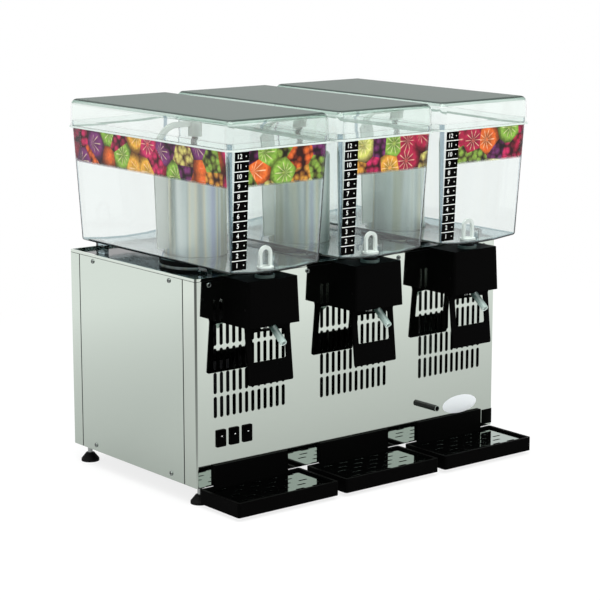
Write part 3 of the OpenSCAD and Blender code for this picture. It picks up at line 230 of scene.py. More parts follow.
def drawn_cylinder():
    """Deep-drawn stainless cylinder: upright streaks in its roughness, and upright streaks of painted
    reflection in its colour, lighter and darker with faint straw and blue tints.
    """
    material, tree, shader, _ = blank_material("deep_drawn_stainless")
    streak_mm, length_mm = 20, 900
    across, along = 1 / (streak_mm * MM), 1 / (length_mm * MM)
    streak = add(tree, "ShaderNodeTexNoise", values={"Scale": 1.0, "Detail": 0.5},
                 links={"Vector": object_coords(tree, (across, across, along))})
    # Painted reflection: the streaks' lighter, darker, straw and blue colours
    tone = add(tree, "ShaderNodeValToRGB", links={"Fac": streak.outputs[0]})
    set_ramp(tone, [(0.25, "#A3AFC6"), (0.36, "#C4D2CF"), (0.45, "#D4D3BC"), (0.53, "#AEBDBC"),
                    (0.62, "#DBE3E1"), (0.72, "#C4C9B4"), (0.82, "#ECF0EE")])
    spread = add(tree, "ShaderNodeMapRange", values={"To Min": 0.3, "To Max": 0.45},
                 links={"Value": streak.outputs[0]})
    tree.links.new(tone.outputs[0], shader.inputs["Base Color"])
    tree.links.new(spread.outputs[0], shader.inputs["Roughness"])
    shader.inputs["Metallic"].default_value = 0.9
    return material


def juice_print(low_z):
    """Printed vinyl film: round slices and clusters of berries in juice colours on a dark ground.

    The ink thins out to nothing along the film's lower edge.
    """
    material, tree, shader, output = blank_material("printed_vinyl_film")
    slice_mm, berry_mm, pulp_mm, fade_mm = 36, 11, 4, 6
    segments = 10
    where = object_coords(tree)
    slices = add(tree, "ShaderNodeTexVoronoi", values={"Scale": 1 / (slice_mm * MM), "Randomness": 0.75},
                 links={"Vector": where})
    berries = add(tree, "ShaderNodeTexVoronoi", values={"Scale": 1 / (berry_mm * MM), "Randomness": 0.9},
                  links={"Vector": where})
    pulp = add(tree, "ShaderNodeTexNoise", values={"Scale": 1 / (pulp_mm * MM), "Detail": 4.0},
               links={"Vector": where})
    pick = add(tree, "ShaderNodeSeparateColor", links={"Color": slices.outputs["Color"]})
    flesh = add(tree, "ShaderNodeValToRGB", links={"Fac": pick.outputs[0]})
    set_ramp(flesh, [(0.0, "#E2702A"), (0.15, "#B81A46"), (0.3, "#E2B040"), (0.45, "#8FBC48"),
                     (0.6, "#D02A66"), (0.74, "#D8DA78"), (0.88, "#7C3474")], "CONSTANT")
    # A slice: a pale core, flesh, a bright rind and the dark ground round it
    rings = add(tree, "ShaderNodeValToRGB", links={"Fac": slices.outputs["Distance"]})
    set_ramp(rings, [(0.0, "#FFF4D0"), (0.09, "#E8D8A8"), (0.13, "#B9B9B9"), (0.36, "#EFEFEF"),
                     (0.5, "#FFFFFF"), (0.66, "#A89A9C"), (0.82, "#54343E")])
    cut = add(tree, "ShaderNodeMix", {"data_type": "RGBA", "blend_type": "MULTIPLY"},
              values={"Factor": 1.0}, links={6: flesh.outputs[0], 7: rings.outputs[0]})
    # Pale lines part the slice into segments
    offset = add(tree, "ShaderNodeVectorMath", {"operation": "SUBTRACT"},
                 links={0: where, 1: slices.outputs["Position"]})
    apart = add(tree, "ShaderNodeSeparateXYZ", links={0: offset.outputs[0]})
    level = add(tree, "ShaderNodeMath", {"operation": "ADD"},
                links={0: apart.outputs[0], 1: apart.outputs[1]})
    angle = add(tree, "ShaderNodeMath", {"operation": "ARCTAN2"},
                links={0: apart.outputs[2], 1: level.outputs[0]})
    turns = add(tree, "ShaderNodeMath", {"operation": "MULTIPLY"}, values={1: segments / 2},
                links={0: angle.outputs[0]})
    wave = add(tree, "ShaderNodeMath", {"operation": "SINE"}, links={0: turns.outputs[0]})
    swing = add(tree, "ShaderNodeMath", {"operation": "ABSOLUTE"}, links={0: wave.outputs[0]})
    line = add(tree, "ShaderNodeMapRange", values={"From Max": 0.4, "To Min": 0.75, "To Max": 0.0},
               links={"Value": swing.outputs[0]})
    inside = add(tree, "ShaderNodeMapRange",
                 values={"From Min": 0.4, "From Max": 0.5, "To Min": 1.0, "To Max": 0.0},
                 links={"Value": slices.outputs["Distance"]})
    parting = add(tree, "ShaderNodeMath", {"operation": "MULTIPLY"},
                  links={0: line.outputs[0], 1: inside.outputs[0]})
    slice_ink = add(tree, "ShaderNodeMix", {"data_type": "RGBA"}, values={7: srgb("#FBEBC4")},
                    links={0: parting.outputs[0], 6: cut.outputs[2]})
    # A cluster: small round berries with a highlight each and dark gaps
    balls = add(tree, "ShaderNodeValToRGB", links={"Fac": berries.outputs["Distance"]})
    set_ramp(balls, [(0.0, "#FFFFFF"), (0.16, "#FAF0F4"), (0.38, "#E0D2D8"), (0.6, "#947480"),
                     (0.76, "#38202C")])
    cluster = add(tree, "ShaderNodeMix", {"data_type": "RGBA", "blend_type": "MULTIPLY"},
                  values={"Factor": 1.0}, links={6: flesh.outputs[0], 7: balls.outputs[0]})
    which = add(tree, "ShaderNodeMath", {"operation": "GREATER_THAN"}, values={1: 0.55},
                links={0: pick.outputs[1]})
    motif = add(tree, "ShaderNodeMix", {"data_type": "RGBA"},
                links={"Factor": which.outputs[0], 6: slice_ink.outputs[2], 7: cluster.outputs[2]})
    grain = add(tree, "ShaderNodeValToRGB", links={"Fac": pulp.outputs[0]})
    set_ramp(grain, [(0.3, "#5A5A5A"), (0.7, "#C8C8C8")])
    ink = add(tree, "ShaderNodeMix", {"data_type": "RGBA", "blend_type": "OVERLAY"},
              values={"Factor": 0.6}, links={6: motif.outputs[2], 7: grain.outputs[0]})
    tree.links.new(ink.outputs[2], shader.inputs["Base Color"])
    shader.inputs["Roughness"].default_value = 0.3
    shader.inputs["Specular IOR Level"].default_value = 0.3
    place = add(tree, "ShaderNodeSeparateXYZ", links={"Vector": where})
    depth = add(tree, "ShaderNodeMapRange", values={"From Min": low_z, "From Max": low_z + fade_mm * MM},
                links={"Value": place.outputs[2]})
    bare = add(tree, "ShaderNodeBsdfTransparent")
    faded = add(tree, "ShaderNodeMixShader", links={0: depth.outputs[0], 1: bare.outputs[0],
                                                    2: shader.outputs[0]})
    tree.links.new(faded.outputs[0], output.inputs["Surface"])
    return material


def milky_polyethylene():
    """Natural polyethylene: milky and waxy, with painted shade along its height: dark where it hangs in the
    black housing, pale at the tip, and a thin lighter line at its top.
    """
    material, tree, shader, _ = blank_material("milky_polyethylene")
    cloud_mm = 9
    where = object_coords(tree)
    cloud = add(tree, "ShaderNodeTexNoise", values={"Scale": 1 / (cloud_mm * MM), "Detail": 2.0},
                links={"Vector": where})
    low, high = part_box("left_spout")
    place = add(tree, "ShaderNodeSeparateXYZ", links={"Vector": where})
    depth = add(tree, "ShaderNodeMapRange", values={"From Min": low.z, "From Max": high.z},
                links={"Value": place.outputs[2]})
    # Painted shade and light by height: dark up in the housing, pale towards the tip
    shade = add(tree, "ShaderNodeValToRGB", links={"Fac": depth.outputs[0]})
    set_ramp(shade, [(0.0, "#D8E5E0"), (0.09, "#A5BAB3"), (0.21, "#3A4E49"), (0.85, "#26302D"),
                     (0.97, "#55645F")])
    milk = add(tree, "ShaderNodeMapRange", values={"To Min": 0.85, "To Max": 1.1},
               links={"Value": cloud.outputs[0]})
    tone = add(tree, "ShaderNodeMix", {"data_type": "RGBA", "blend_type": "MULTIPLY"},
               values={"Factor": 1.0}, links={6: shade.outputs[0], 7: milk.outputs[0]})
    tree.links.new(tone.outputs[2], shader.inputs["Base Color"])
    shader.inputs["Roughness"].default_value = 0.35
    shader.inputs["Transmission Weight"].default_value = 0.15
    shader.inputs["IOR"].default_value = 1.5
    return material


def smoked_lid(name, dark, light, transmission):
    """Smoked polycarbonate with a fine matt grain: grey-green, nearly opaque at a low angle."""
    material, tree, shader, output = blank_material(name)
    grain_mm, passed = 1.2, (0.9, 0.92, 0.91, 1)
    grain = add(tree, "ShaderNodeTexNoise", values={"Scale": 1 / (grain_mm * MM), "Detail": 3.0},
                links={"Vector": object_coords(tree)})
    tone = add(tree, "ShaderNodeValToRGB", links={"Fac": grain.outputs[0]})
    set_ramp(tone, [(0.25, dark), (0.75, light)])
    bump = add(tree, "ShaderNodeBump", values={"Strength": 0.2, "Distance": 0.03 * MM},
               links={"Height": grain.outputs[0]})
    tree.links.new(tone.outputs[0], shader.inputs["Base Color"])
    tree.links.new(bump.outputs[0], shader.inputs["Normal"])
    shader.inputs["Roughness"].default_value = 0.35
    shader.inputs["Specular IOR Level"].default_value = 0.2
    shader.inputs["Transmission Weight"].default_value = transmission
    # Light for the pieces below passes through
    path = add(tree, "ShaderNodeLightPath")
    through = add(tree, "ShaderNodeBsdfTransparent", values={"Color": passed})
    mixed = add(tree, "ShaderNodeMixShader", links={0: path.outputs["Is Shadow Ray"], 1: shader.outputs[0],
                                                    2: through.outputs[0]})
    tree.links.new(mixed.outputs[0], output.inputs["Surface"])
    return material


# Mirror polish shows the room sharply, bright annealing softens it, and plating dulls it; a darker steel on
# rounded edges along the seams is painted shade.
# Name, colour, roughness, grain in mm, depth of the grain and depth of the sheet's waves
mirror_steel = steel_sheet("mirror_polished_stainless", "#D6DFD6", 0.03, 0.5, 0.001 * MM, 0.05 * MM)
cover_steel = steel_sheet("bright_annealed_stainless", "#D4DED5", 0.14, 0.6, 0.003 * MM, 0.1 * MM)
zinc_steel = steel_sheet("bright_zinc_plate", "#B9BDBB", 0.2, 0.4, 0.002 * MM, 0.0)
black_oxide = steel_sheet("black_oxide_steel", "#1B1B1C", 0.4, 0.4, 0.002 * MM, 0.0)
galvanised = steel_sheet("galvanised_sheet", "#9DA2A4", 0.42, 1.2, 0.006 * MM, 0.1 * MM)
coated_fins = steel_sheet("black_coated_fins", "#232526", 0.45, 0.5, 0.004 * MM, 0.0)
screw_steel = steel_sheet("stainless_screws", "#989E9B", 0.25, 0.4, 0.002 * MM, 0.0)
# Darker steel for rounded edges along the seams, as painted shade
seam_edge_shade = steel_sheet("stainless_seam_edge_shade", "#3C403E", 0.45, 0.4, 0.002 * MM, 0.0)
grille_steel = steel_sheet("polished_grille_stainless", "#98A69F", 0.06, 0.5, 0.001 * MM, 0.02 * MM)
cylinder_steel = drawn_cylinder()
# Mouldings are matt and even, enamel and tube shine a little, and ink is flat.
# Name, colour, roughness, gloss, grit in mm and the strength of its speckle
black_abs = moulded_plastic("black_abs", "#030303", 0.5, 0.02)
deck_abs = moulded_plastic("black_glazed_abs", "#050606", 0.1, 0.3)
black_rubber = moulded_plastic("black_rubber", "#0A0A0A", 0.6, 0.15, 0.9)
dark_tube = moulded_plastic("dark_pvc_tube", "#121312", 0.25, 0.4)
grey_tube_end = moulded_plastic("cut_pvc_tube", "#8F9A92", 0.4, 0.3)
motor_paint = moulded_plastic("grey_motor_enamel", "#4A4C4F", 0.4, 0.5)
black_enamel = moulded_plastic("black_enamel", "#101011", 0.25, 0.5)
white_acetal = moulded_plastic("white_acetal", "#F1F5F1", 0.32, 0.4, 0.7, 0.03)
# Natural acetal lets some light through
natural_acetal = moulded_plastic("natural_acetal", "#F1F5F1", 0.4, 0.3, 0.7, 0.03)
natural_acetal.node_tree.nodes["Principled BSDF"].inputs["Transmission Weight"].default_value = 0.6
white_ink = moulded_plastic("white_screen_ink", "#F4F6F4", 0.5, 0.2, 0.5, 0.03)
black_ink = moulded_plastic("black_screen_ink", "#020202", 0.6, 0.02, 0.5, 0.1)
pale_plate = moulded_plastic("pale_anodised_plate", "#E9EDF0", 0.35, 0.3, 0.5, 0.03)
flange_edge = moulded_plastic("matt_polycarbonate_edge", "#CCD7D2", 0.5, 0.3, 0.7, 0.03)
# Name, tint, roughness and depth of the flow ripple
clear_bowl = clear_plastic("clear_polycarbonate", "#F8FBFA", 0.01, 0.08 * MM)
clear_lid = clear_plastic("clear_lid_polycarbonate", "#FAFEFC", 0.02, 0.08 * MM)
# Painted shade: grey copies of the clear plastic where one looks along a wall, as at a rounded foot, an
# upright corner or a shoulder
bowl_foot_shade = clear_plastic("clear_polycarbonate_foot_painted_shade", "#ACC0C4", 0.02, 0.08 * MM)
bowl_corner_shade = clear_plastic("clear_polycarbonate_corner_painted_shade", "#A7B8C1", 0.02, 0.08 * MM)
lid_shoulder_shade = clear_plastic("clear_lid_polycarbonate_shoulder_painted_shade", "#B4CCC1", 0.03, 0.08 * MM)
lid_top = smoked_lid("smoked_polycarbonate", "#24382F", "#2E4239", 0.08)
# A darker copy of the smoked plastic, as painted shade round the edge of the top
lid_edge_shade = smoked_lid("smoked_polycarbonate_edge_painted_shade", "#1B2A25", "#23332D", 0.1)
polyethylene = milky_polyethylene()
BAND_GAP, BAND_H = 0.5 * MM, 56 * MM
BAND_TOP_Z = FLANGE_LOW_Z - BAND_GAP
BAND_LOW_Z = BAND_TOP_Z - BAND_H
printed_film = juice_print(BAND_LOW_Z)


# Pieces

# Points closer than this are one, and angles below or above these are flat, creased or sharp
WELD = 0.005 * MM
FLAT, CREASE, SHARP = math.radians(0.5), math.radians(30), math.radians(35)


def piece(name, bm, body, materials):
    """A finished mesh that rides on a body."""
    mesh = bpy.data.meshes.new(name)
    bm.to_mesh(mesh)
    bm.free()
    for material in materials:
        mesh.materials.append(material)
    obj = bpy.data.objects.new(name, mesh)
    scene.collection.objects.link(obj)
    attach(obj, body)
    return obj


def welded(node):
    """A copy of a solid's mesh with its loose triangles joined."""
    bm = bmesh.new()
    bm.from_mesh(frame["nodes"][node].data)
    bmesh.ops.remove_doubles(bm, verts=bm.verts[:], dist=WELD)
    return bm


def merge_flats(bm):
    """Makes one face of the triangles that lie in a plane."""
    bmesh.ops.dissolve_limit(bm, angle_limit=FLAT, verts=bm.verts[:], edges=bm.edges[:])


def smooth_by_angle(bm):
    """Smooth faces, with sharp edges where the surface turns by more than the crease angle."""
    for face in bm.faces:
        face.smooth = True
    for edge in bm.edges:
        edge.smooth = len(edge.link_faces) == 2 and edge.calc_face_angle(0.0) < CREASE


def rounded_edges(bm, width, chosen=None):
    """Breaks the sharp edges, or the chosen ones among them, with a small round."""
    sharp = [e for e in bm.edges if len(e.link_faces) == 2 and e.calc_face_angle(0.0) > SHARP]
    if chosen:
        sharp = [e for e in sharp if chosen(e)]
    bmesh.ops.bevel(bm, geom=sharp, offset=width, offset_type="OFFSET", segments=2, profile=0.5,
                    affect="EDGES", clamp_overlap=True, material=-1)


NODE_BODY = {n: b for b, nodes in frame["record"]["behaviour"]["bodies"].items() for n in nodes}


def refined(node, materials, edge_mm=0.0, paint=None, chosen=None):
    """A smooth-shaded copy of a solid, with small rounds on its edges, which stands for it."""
    bm = welded(node)
    if edge_mm:
        merge_flats(bm)
        rounded_edges(bm, edge_mm * MM, chosen)
    smooth_by_angle(bm)
    if paint:
        for face in bm.faces:
            face.material_index = paint(face)
    obj = piece(f"{node}_skin", bm, NODE_BODY[node], materials)
    obj.modifiers.new("flat_faces_first", "WEIGHTED_NORMAL").keep_sharp = True
    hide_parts(node)


LID_TOP_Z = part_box("left_lid")[1].z
LID_SHOULDER_H = 8 * MM
BOWL_FOOT_Z = RIM_Z + 18 * MM
# How far a face looks up, from 0 for an upright wall to 1 for a level top
SHOULDER_LOW, WALL_LIMIT, SHOULDER_HIGH, TOP_LEVEL = 0.3, 0.5, 0.75, 0.92
# How far a corner's face looks along each of its two walls
CORNER_LEAN = 0.3


def lid_paint(face):
    """The top sheet is smoked, with painted shade as a darker band round its edge and as a grey shoulder
    below it, and the skirt is clear.
    """
    upward = face.normal.z
    if upward < SHOULDER_LOW or face.calc_center_median().z < LID_TOP_Z - LID_SHOULDER_H:
        return 0
    if upward < SHOULDER_HIGH:
        return 3
    return 1 if upward > TOP_LEVEL else 2


def bowl_paint(face):
    """The foot and the floor get grey painted shade, upright corners a tinted painted shade, and the flange
    has a pale matt edge.
    """
    height, normal = face.calc_center_median().z, face.normal
    if height < BOWL_FOOT_Z:
        return 1
    if FLANGE_LOW_Z < height < FLANGE_LOW_Z + FLANGE_T and abs(normal.z) < WALL_LIMIT:
        return 3
    return 2 if min(abs(normal.x), abs(normal.y)) > CORNER_LEAN else 0


# Finish of the pieces that come with each bowl, and the round on their edges in mm
BOWL_SET = {
    "evaporator": (cylinder_steel, 0.0), "drive_shaft": (zinc_steel, 0.0), "stirrer": (natural_acetal, 0.6),
    "tap_piston": (white_acetal, 0.5), "spout": (polyethylene, 0.0), "tap_housing": (black_abs, 0.0),
    "tap_lever": (black_abs, 0.4), "drip_tray": (black_abs, 0.5), "drip_grille": (grille_steel, 0.4),
    "rocker": (black_abs, 0.3),
}
for side in SIDES:
    refined(f"{side}_lid", [clear_lid, lid_top, lid_edge_shade, lid_shoulder_shade], paint=lid_paint)
    refined(f"{side}_bowl", [clear_bowl, bowl_foot_shade, bowl_corner_shade, flange_edge], paint=bowl_paint)
    for part, (finish, edge_mm) in BOWL_SET.items():
        refined(f"{side}_{part}", [finish], edge_mm)

NODE_FINISH = {
    "bowl_gaskets": black_rubber, "outlet_seals": black_rubber, "stirrer_motors": motor_paint,
    "lever_pins": black_oxide, "lever_springs": zinc_steel, "switch_bodies": black_abs,
    "tray_studs": black_oxide, "base_pan": galvanised, "deck": deck_abs, "feet": black_rubber,
    "foot_stems": zinc_steel, "drain_pipe": dark_tube, "cable_gland": black_abs, "compressor": black_enamel,
    "compressor_mounts": black_rubber, "condenser": coated_fins, "fan_motor": motor_paint,
    "fan_rotor": black_abs,
}
for node, finish in NODE_FINISH.items():
    refined(node, [finish])

COVER_LOW, COVER_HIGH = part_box("left_cover")
SHEET_T = COVER_HIGH.x - COVER_LOW.x
ON_PLANE = 0.1 * MM
FOLD_MIN_H = 100 * MM
GAP_REACH = 2 * MM
# How far a face leans to one side, from a slight slant to level
SLANT, LEVEL = 0.2, 0.98


def outer_upright(edge):
    """An upright edge on the outer face of a folded sheet."""
    a, b = (v.co for v in edge.verts)
    return abs(a.z - b.z) > FOLD_MIN_H and min(abs(a.x), abs(b.x)) > SIDE_X - ON_PLANE


def sheet_paint(face):
    """Painted shade along the gaps beside a cover: the rounded edges there get a darker steel, and black
    rubber lies on the strip behind each gap so that the gap looks dark.
    """
    centre, normal = face.calc_center_median(), face.normal
    depth = SIDE_X - abs(centre.x)
    # The strip behind a gap lies one sheet in, and faces outwards
    if 0.9 * SHEET_T < depth < 1.5 * SHEET_T and normal.x * centre.x > 0.9 * abs(centre.x):
        return 1
    from_gap = min(abs(centre.y - COVER_LOW.y), abs(centre.y - COVER_HIGH.y))
    return 2 if depth < SHEET_T and from_gap < GAP_REACH and abs(normal.y) > SLANT else 0


def under_rim(edge):
    """The lower outer edge of the rim, where it meets the panels."""
    return edge.is_convex and max(abs(v.co.z - COVER_HIGH.z) for v in edge.verts) < ON_PLANE


def rim_paint(face):
    """The rounded lower edge of the rim gets a darker steel, as painted shade where it meets the panels."""
    return 1 if -LEVEL < face.normal.z < -SLANT else 0


SHEETS = {
    "front_panel": (mirror_steel, 1.0), "rear_panel": (cover_steel, 1.0),
    "left_cover": (cover_steel, 0.8), "right_cover": (cover_steel, 0.8),
}
for node, (steel, edge_mm) in SHEETS.items():
    refined(node, [steel, black_rubber, seam_edge_shade], edge_mm, sheet_paint, outer_upright)
refined("top_frame", [mirror_steel, seam_edge_shade], 0.8, rim_paint, under_rim)


# Labels on the bowls

FRONT_IN, SIDE_IN = Vector((0, 1, 0)), Vector((1, 0, 0))
UPRIGHT = Matrix.Rotation(math.pi / 2, 4, "X")
TOUCH, SEARCH_REACH = 0.001 * MM, 100 * MM
# A film's thickness, and how far ink on the bowl, ink on ink and ink on a switch stand off
FILM_T, INK_LIFT, MARK_LIFT, DOT_LIFT = 0.1 * MM, 0.05 * MM, 0.2 * MM, 0.02 * MM


def wall_of(node):
    """Search tree of a solid's surface."""
    bm = welded(node)
    tree = BVHTree.FromBMesh(bm, epsilon=TOUCH)
    bm.free()
    return tree


def lay_on(bm, wall, inward, lift):
    """Carries each point along a direction until it lies just proud of the wall."""
    for vert in bm.verts:
        hit = wall.ray_cast(vert.co - SEARCH_REACH * inward, inward)[0]
        vert.co = hit - lift * inward


def upright_sheet(bm, width, height, centre, turn=0.0, cuts=(1, 1)):
    """A flat rectangle that stands up and faces the front, or another way round when turned."""
    size = Matrix.Diagonal((width / 2, height / 2, 1, 1))
    stand = Matrix.Translation(centre) @ Matrix.Rotation(turn, 4, "Z") @ UPRIGHT
    bmesh.ops.create_grid(bm, x_segments=cuts[0], y_segments=cuts[1], size=1, matrix=stand @ size)


def film(name, bm, wall, inward, lift, body, material):
    """A thin label that follows the wall."""
    lay_on(bm, wall, inward, lift + FILM_T)
    bmesh.ops.recalc_face_normals(bm, faces=bm.faces[:])
    facing = sum((f.normal * f.calc_area() for f in bm.faces), Vector()).dot(inward)
    if facing > 0:
        bmesh.ops.reverse_faces(bm, faces=bm.faces[:])
    bmesh.ops.solidify(bm, geom=bm.faces[:], thickness=FILM_T)
    piece(name, bm, body, [material])


# Height of a digit as a share of the font's size
DIGIT_SHARE = 0.72


def flat_number(bm, text, height, centre):
    """A number as flat upright faces that look to the front."""
    curve = bpy.data.curves.new("number", "FONT")
    curve.body = text
    curve.size = height / DIGIT_SHARE
    curve.resolution_u = 3
    curve.align_x, curve.align_y = "CENTER", "CENTER"
    source = bpy.data.objects.new("number", curve)
    mesh = bpy.data.meshes.new_from_object(source)
    mesh.transform(Matrix.Translation(centre) @ UPRIGHT)
    bm.from_mesh(mesh)
    bpy.data.objects.remove(source)
    bpy.data.meshes.remove(mesh)
    bpy.data.curves.remove(curve)


# The scale counts litres in black boxes from 1 to 12, with white lines between them
LITRES = range(1, 13)
FIRST_LITRE_Z = RIM_Z + 27.6 * MM
LITRE_STEP = 15 * MM
SCALE_X, SCALE_W, SCALE_BOX_H = -71 * MM, 26.6 * MM, 13.8 * MM
NUMBER_X, DOT_X = -75.3 * MM, -63 * MM
NUMBER_H, DOT_R, LINE_H = 7.4 * MM, 0.9 * MM, 1.0 * MM
# Cuts across the scale let it bend round the bowl's corner
SCALE_CUTS = (12, 1)


def level_scale(side):
    """The litre scale at the left of a bowl's front."""
    bowl = f"{side}_bowl"
    wall = wall_of(bowl)
    low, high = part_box(bowl)
    middle = (low.x + high.x) / 2
    boxes, marks = bmesh.new(), bmesh.new()
    for litre in LITRES:
        z = FIRST_LITRE_Z + (litre - 1) * LITRE_STEP
        upright_sheet(boxes, SCALE_W, SCALE_BOX_H, (middle + SCALE_X, low.y, z), cuts=SCALE_CUTS)
        flat_number(marks, str(litre), NUMBER_H, (middle + NUMBER_X, low.y, z))
        bmesh.ops.create_circle(marks, cap_ends=True, segments=12, radius=DOT_R,
                                matrix=Matrix.Translation((middle + DOT_X, low.y, z)) @ UPRIGHT)
        if litre > 1:
            between = (middle + SCALE_X, low.y, z - LITRE_STEP / 2)
            upright_sheet(marks, SCALE_W, LINE_H, between, cuts=SCALE_CUTS)
    film(f"{side}_scale_boxes", boxes, wall, FRONT_IN, INK_LIFT, bowl, black_ink)
    film(f"{side}_scale_marks", marks, wall, FRONT_IN, MARK_LIFT, bowl, white_ink)


# The printed film runs from the scale to the right on each front, and along the left side of the row
FRONT_BAND = (-57.6 * MM, 88.5 * MM)
SIDE_BAND_FRONT, SIDE_BAND_REAR = 15.5 * MM, 9 * MM
BAND_CUTS = (16, 4)


def printed_band(name, side, start, end, inward):
    """A band of printed film under a bowl's flange, between two places on the wall."""
    turn = math.atan2(inward.y, inward.x) - math.pi / 2
    centre = (start + end) / 2
    centre.z = (BAND_TOP_Z + BAND_LOW_Z) / 2
    bm = bmesh.new()
    upright_sheet(bm, (end - start).length, BAND_TOP_Z - BAND_LOW_Z, centre, turn, BAND_CUTS)
    bowl = f"{side}_bowl"
    film(name, bm, wall_of(bowl), inward, INK_LIFT, bowl, printed_film)


for side in SIDES:
    level_scale(side)
    low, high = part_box(f"{side}_bowl")
    middle = (low.x + high.x) / 2
    start, end = (Vector((middle + x, low.y, 0)) for x in FRONT_BAND)
    printed_band(f"{side}_front_band", side, start, end, FRONT_IN)
low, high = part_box("left_bowl")
start = Vector((low.x, low.y + SIDE_BAND_FRONT, 0))
end = Vector((low.x, high.y - SIDE_BAND_REAR, 0))
printed_band("left_side_band", "left", start, end, SIDE_IN)


# Small pieces on the cabinet

# The plates are thin enough for the back of a tray to slide up past them
PLATE_FRONT_Y, PLATE_T, PLATE_EDGE = PANEL_Y - 0.15 * MM, 0.3 * MM, 0.1 * MM
OVAL_X, OVAL_RISE, OVAL_HALVES = 238 * MM, 49 * MM, (39 * MM, 15.5 * MM)
SMALL_X, SMALL_RISE, SMALL_HALVES = 302.5 * MM, 16.5 * MM, (12 * MM, 13 * MM)


def bare_plate(name, outline, x, rise, material):
    """A thin plate on the front panel from a flat outline, with its edge broken."""
    bmesh.ops.solidify(outline, geom=outline.faces[:], thickness=PLATE_T)
    bmesh.ops.recalc_face_normals(outline, faces=outline.faces[:])
    stand = Matrix.Translation((x, PLATE_FRONT_Y, BASE_Z + rise)) @ UPRIGHT
    bmesh.ops.transform(outline, matrix=stand, verts=outline.verts[:])
    rounded_edges(outline, PLATE_EDGE)
    smooth_by_angle(outline)
    piece(name, outline, "cabinet", [material])


oval = bmesh.new()
bmesh.ops.create_circle(oval, cap_ends=True, segments=48, radius=1,
                        matrix=Matrix.Diagonal((*OVAL_HALVES, 1, 1)))
bare_plate("oval_plate", oval, OVAL_X, OVAL_RISE, pale_plate)
oblong = bmesh.new()
bmesh.ops.create_grid(oblong, x_segments=1, y_segments=1, size=1,
                      matrix=Matrix.Diagonal((*SMALL_HALVES, 1, 1)))
bare_plate("small_plate", oblong, SMALL_X, SMALL_RISE, black_abs)

ROCKER_DOT_RISE, ROCKER_DOT_R = 0.7, 1.1 * MM


def rocker_dot(side):
    """A white dot on the upper half of a switch."""
    node = f"{side}_rocker"
    low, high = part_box(node)
    place = Vector(((low.x + high.x) / 2, low.y, low.z + ROCKER_DOT_RISE * (high.z - low.z)))
    bm = bmesh.new()
    bmesh.ops.create_circle(bm, cap_ends=True, segments=16, radius=ROCKER_DOT_R,
                            matrix=Matrix.Translation(place) @ UPRIGHT)
    film(f"{side}_rocker_dot", bm, wall_of(node), FRONT_IN, DOT_LIFT, NODE_BODY[node], white_ink)


for side in SIDES:
    rocker_dot(side)

HEAD_RIM, HEAD_DISH = 0.5 * MM, 0.2 * MM
HEAD_MIN_AREA = 8 * MM * MM
CROSS_LONG, CROSS_WIDE = 3.2 * MM, 0.8 * MM
# How squarely a screw's end faces outwards
SQUARELY = 0.99


def outward_head(face):
    """The flat outer end of a screw on a side, on the front or on the back."""
    centre, normal = face.calc_center_median(), face.normal
    if face.calc_area() < HEAD_MIN_AREA:
        return False
    return (normal.x * centre.x > SIDE_X and abs(normal.x) > SQUARELY
            or normal.y < -SQUARELY and centre.y < PANEL_Y or normal.y > SQUARELY and centre.y > REAR_Y)


def screws():
    """The cabinet's screws, each with a dished head, and a black cross in the dish that stands for its
    recess as painted shade.
    """
    node = "panel_screws"
    bm = welded(node)
    merge_flats(bm)
    heads = [f for f in bm.faces if outward_head(f)]
    places = [(f.calc_center_median(), f.normal.copy()) for f in heads]
    bmesh.ops.inset_individual(bm, faces=heads, thickness=HEAD_RIM, depth=-HEAD_DISH)
    smooth_by_angle(bm)
    obj = piece("panel_screws_skin", bm, NODE_BODY[node], [screw_steel])
    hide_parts(node)
    # Painted shade: a black cross in each dish stands for the recess
    recess_shade = bmesh.new()
    for place, normal in places:
        turn = normal.to_track_quat("Z", "Y").to_matrix().to_4x4()
        stand = Matrix.Translation(place - HEAD_DISH * normal) @ turn
        for bar in ((CROSS_LONG, CROSS_WIDE), (CROSS_WIDE, CROSS_LONG)):
            bmesh.ops.create_cube(recess_shade, size=1, matrix=stand @ Matrix.Diagonal((*bar, HEAD_DISH, 1)))
    piece("screw_recess_shade", recess_shade, NODE_BODY[node], [black_oxide])


screws()

TUBE_WALL, TUBE_BORE_R, TUBE_END_T = 1.65 * MM, 3.5 * MM, 0.2 * MM


def tube_end():
    """Pale cut end of the drain tube: a ring over the outer half of its wall."""
    low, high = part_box("drain_pipe")
    place = Vector(((low.x + high.x) / 2, low.y, low.z + TUBE_BORE_R + TUBE_WALL))
    mid_wall_r = TUBE_BORE_R + TUBE_WALL / 2
    bm = bmesh.new()
    bmesh.ops.create_circle(bm, cap_ends=False, segments=40, radius=mid_wall_r,
                            matrix=Matrix.Translation(place) @ UPRIGHT)
    ring = bmesh.ops.extrude_edge_only(bm, edges=bm.edges[:])["geom"]
    grown = (TUBE_BORE_R + TUBE_WALL) / mid_wall_r
    about = Matrix.Translation(place) @ Matrix.Diagonal((grown, 1, grown, 1)) @ Matrix.Translation(-place)
    bmesh.ops.transform(bm, matrix=about, verts=[v for v in ring if isinstance(v, bmesh.types.BMVert)])
    bmesh.ops.solidify(bm, geom=bm.faces[:], thickness=TUBE_END_T)
    bmesh.ops.recalc_face_normals(bm, faces=bm.faces[:])
    piece("drain_end", bm, "cabinet", [grey_tube_end])


tube_end()


# Floor and light

FLOOR_HALF = 30.0
PAPER_GLOW = 0.8
AMBIENT = 0.88
SIDE_WALLS, NEAR_WALLS = "#808482", "#EAEEEC"


def seen_directly(tree):
    """One for rays from the camera, mirrored or through clear plastic, and nought for the light itself."""
    path = add(tree, "ShaderNodeLightPath")
    mirrored = add(tree, "ShaderNodeMath", {"operation": "MAXIMUM"},
                   links={0: path.outputs["Is Glossy Ray"], 1: path.outputs["Is Transmission Ray"]})
    seen = add(tree, "ShaderNodeMath", {"operation": "MAXIMUM"},
               links={0: path.outputs["Is Camera Ray"], 1: mirrored.outputs[0]})
    return seen.outputs[0]


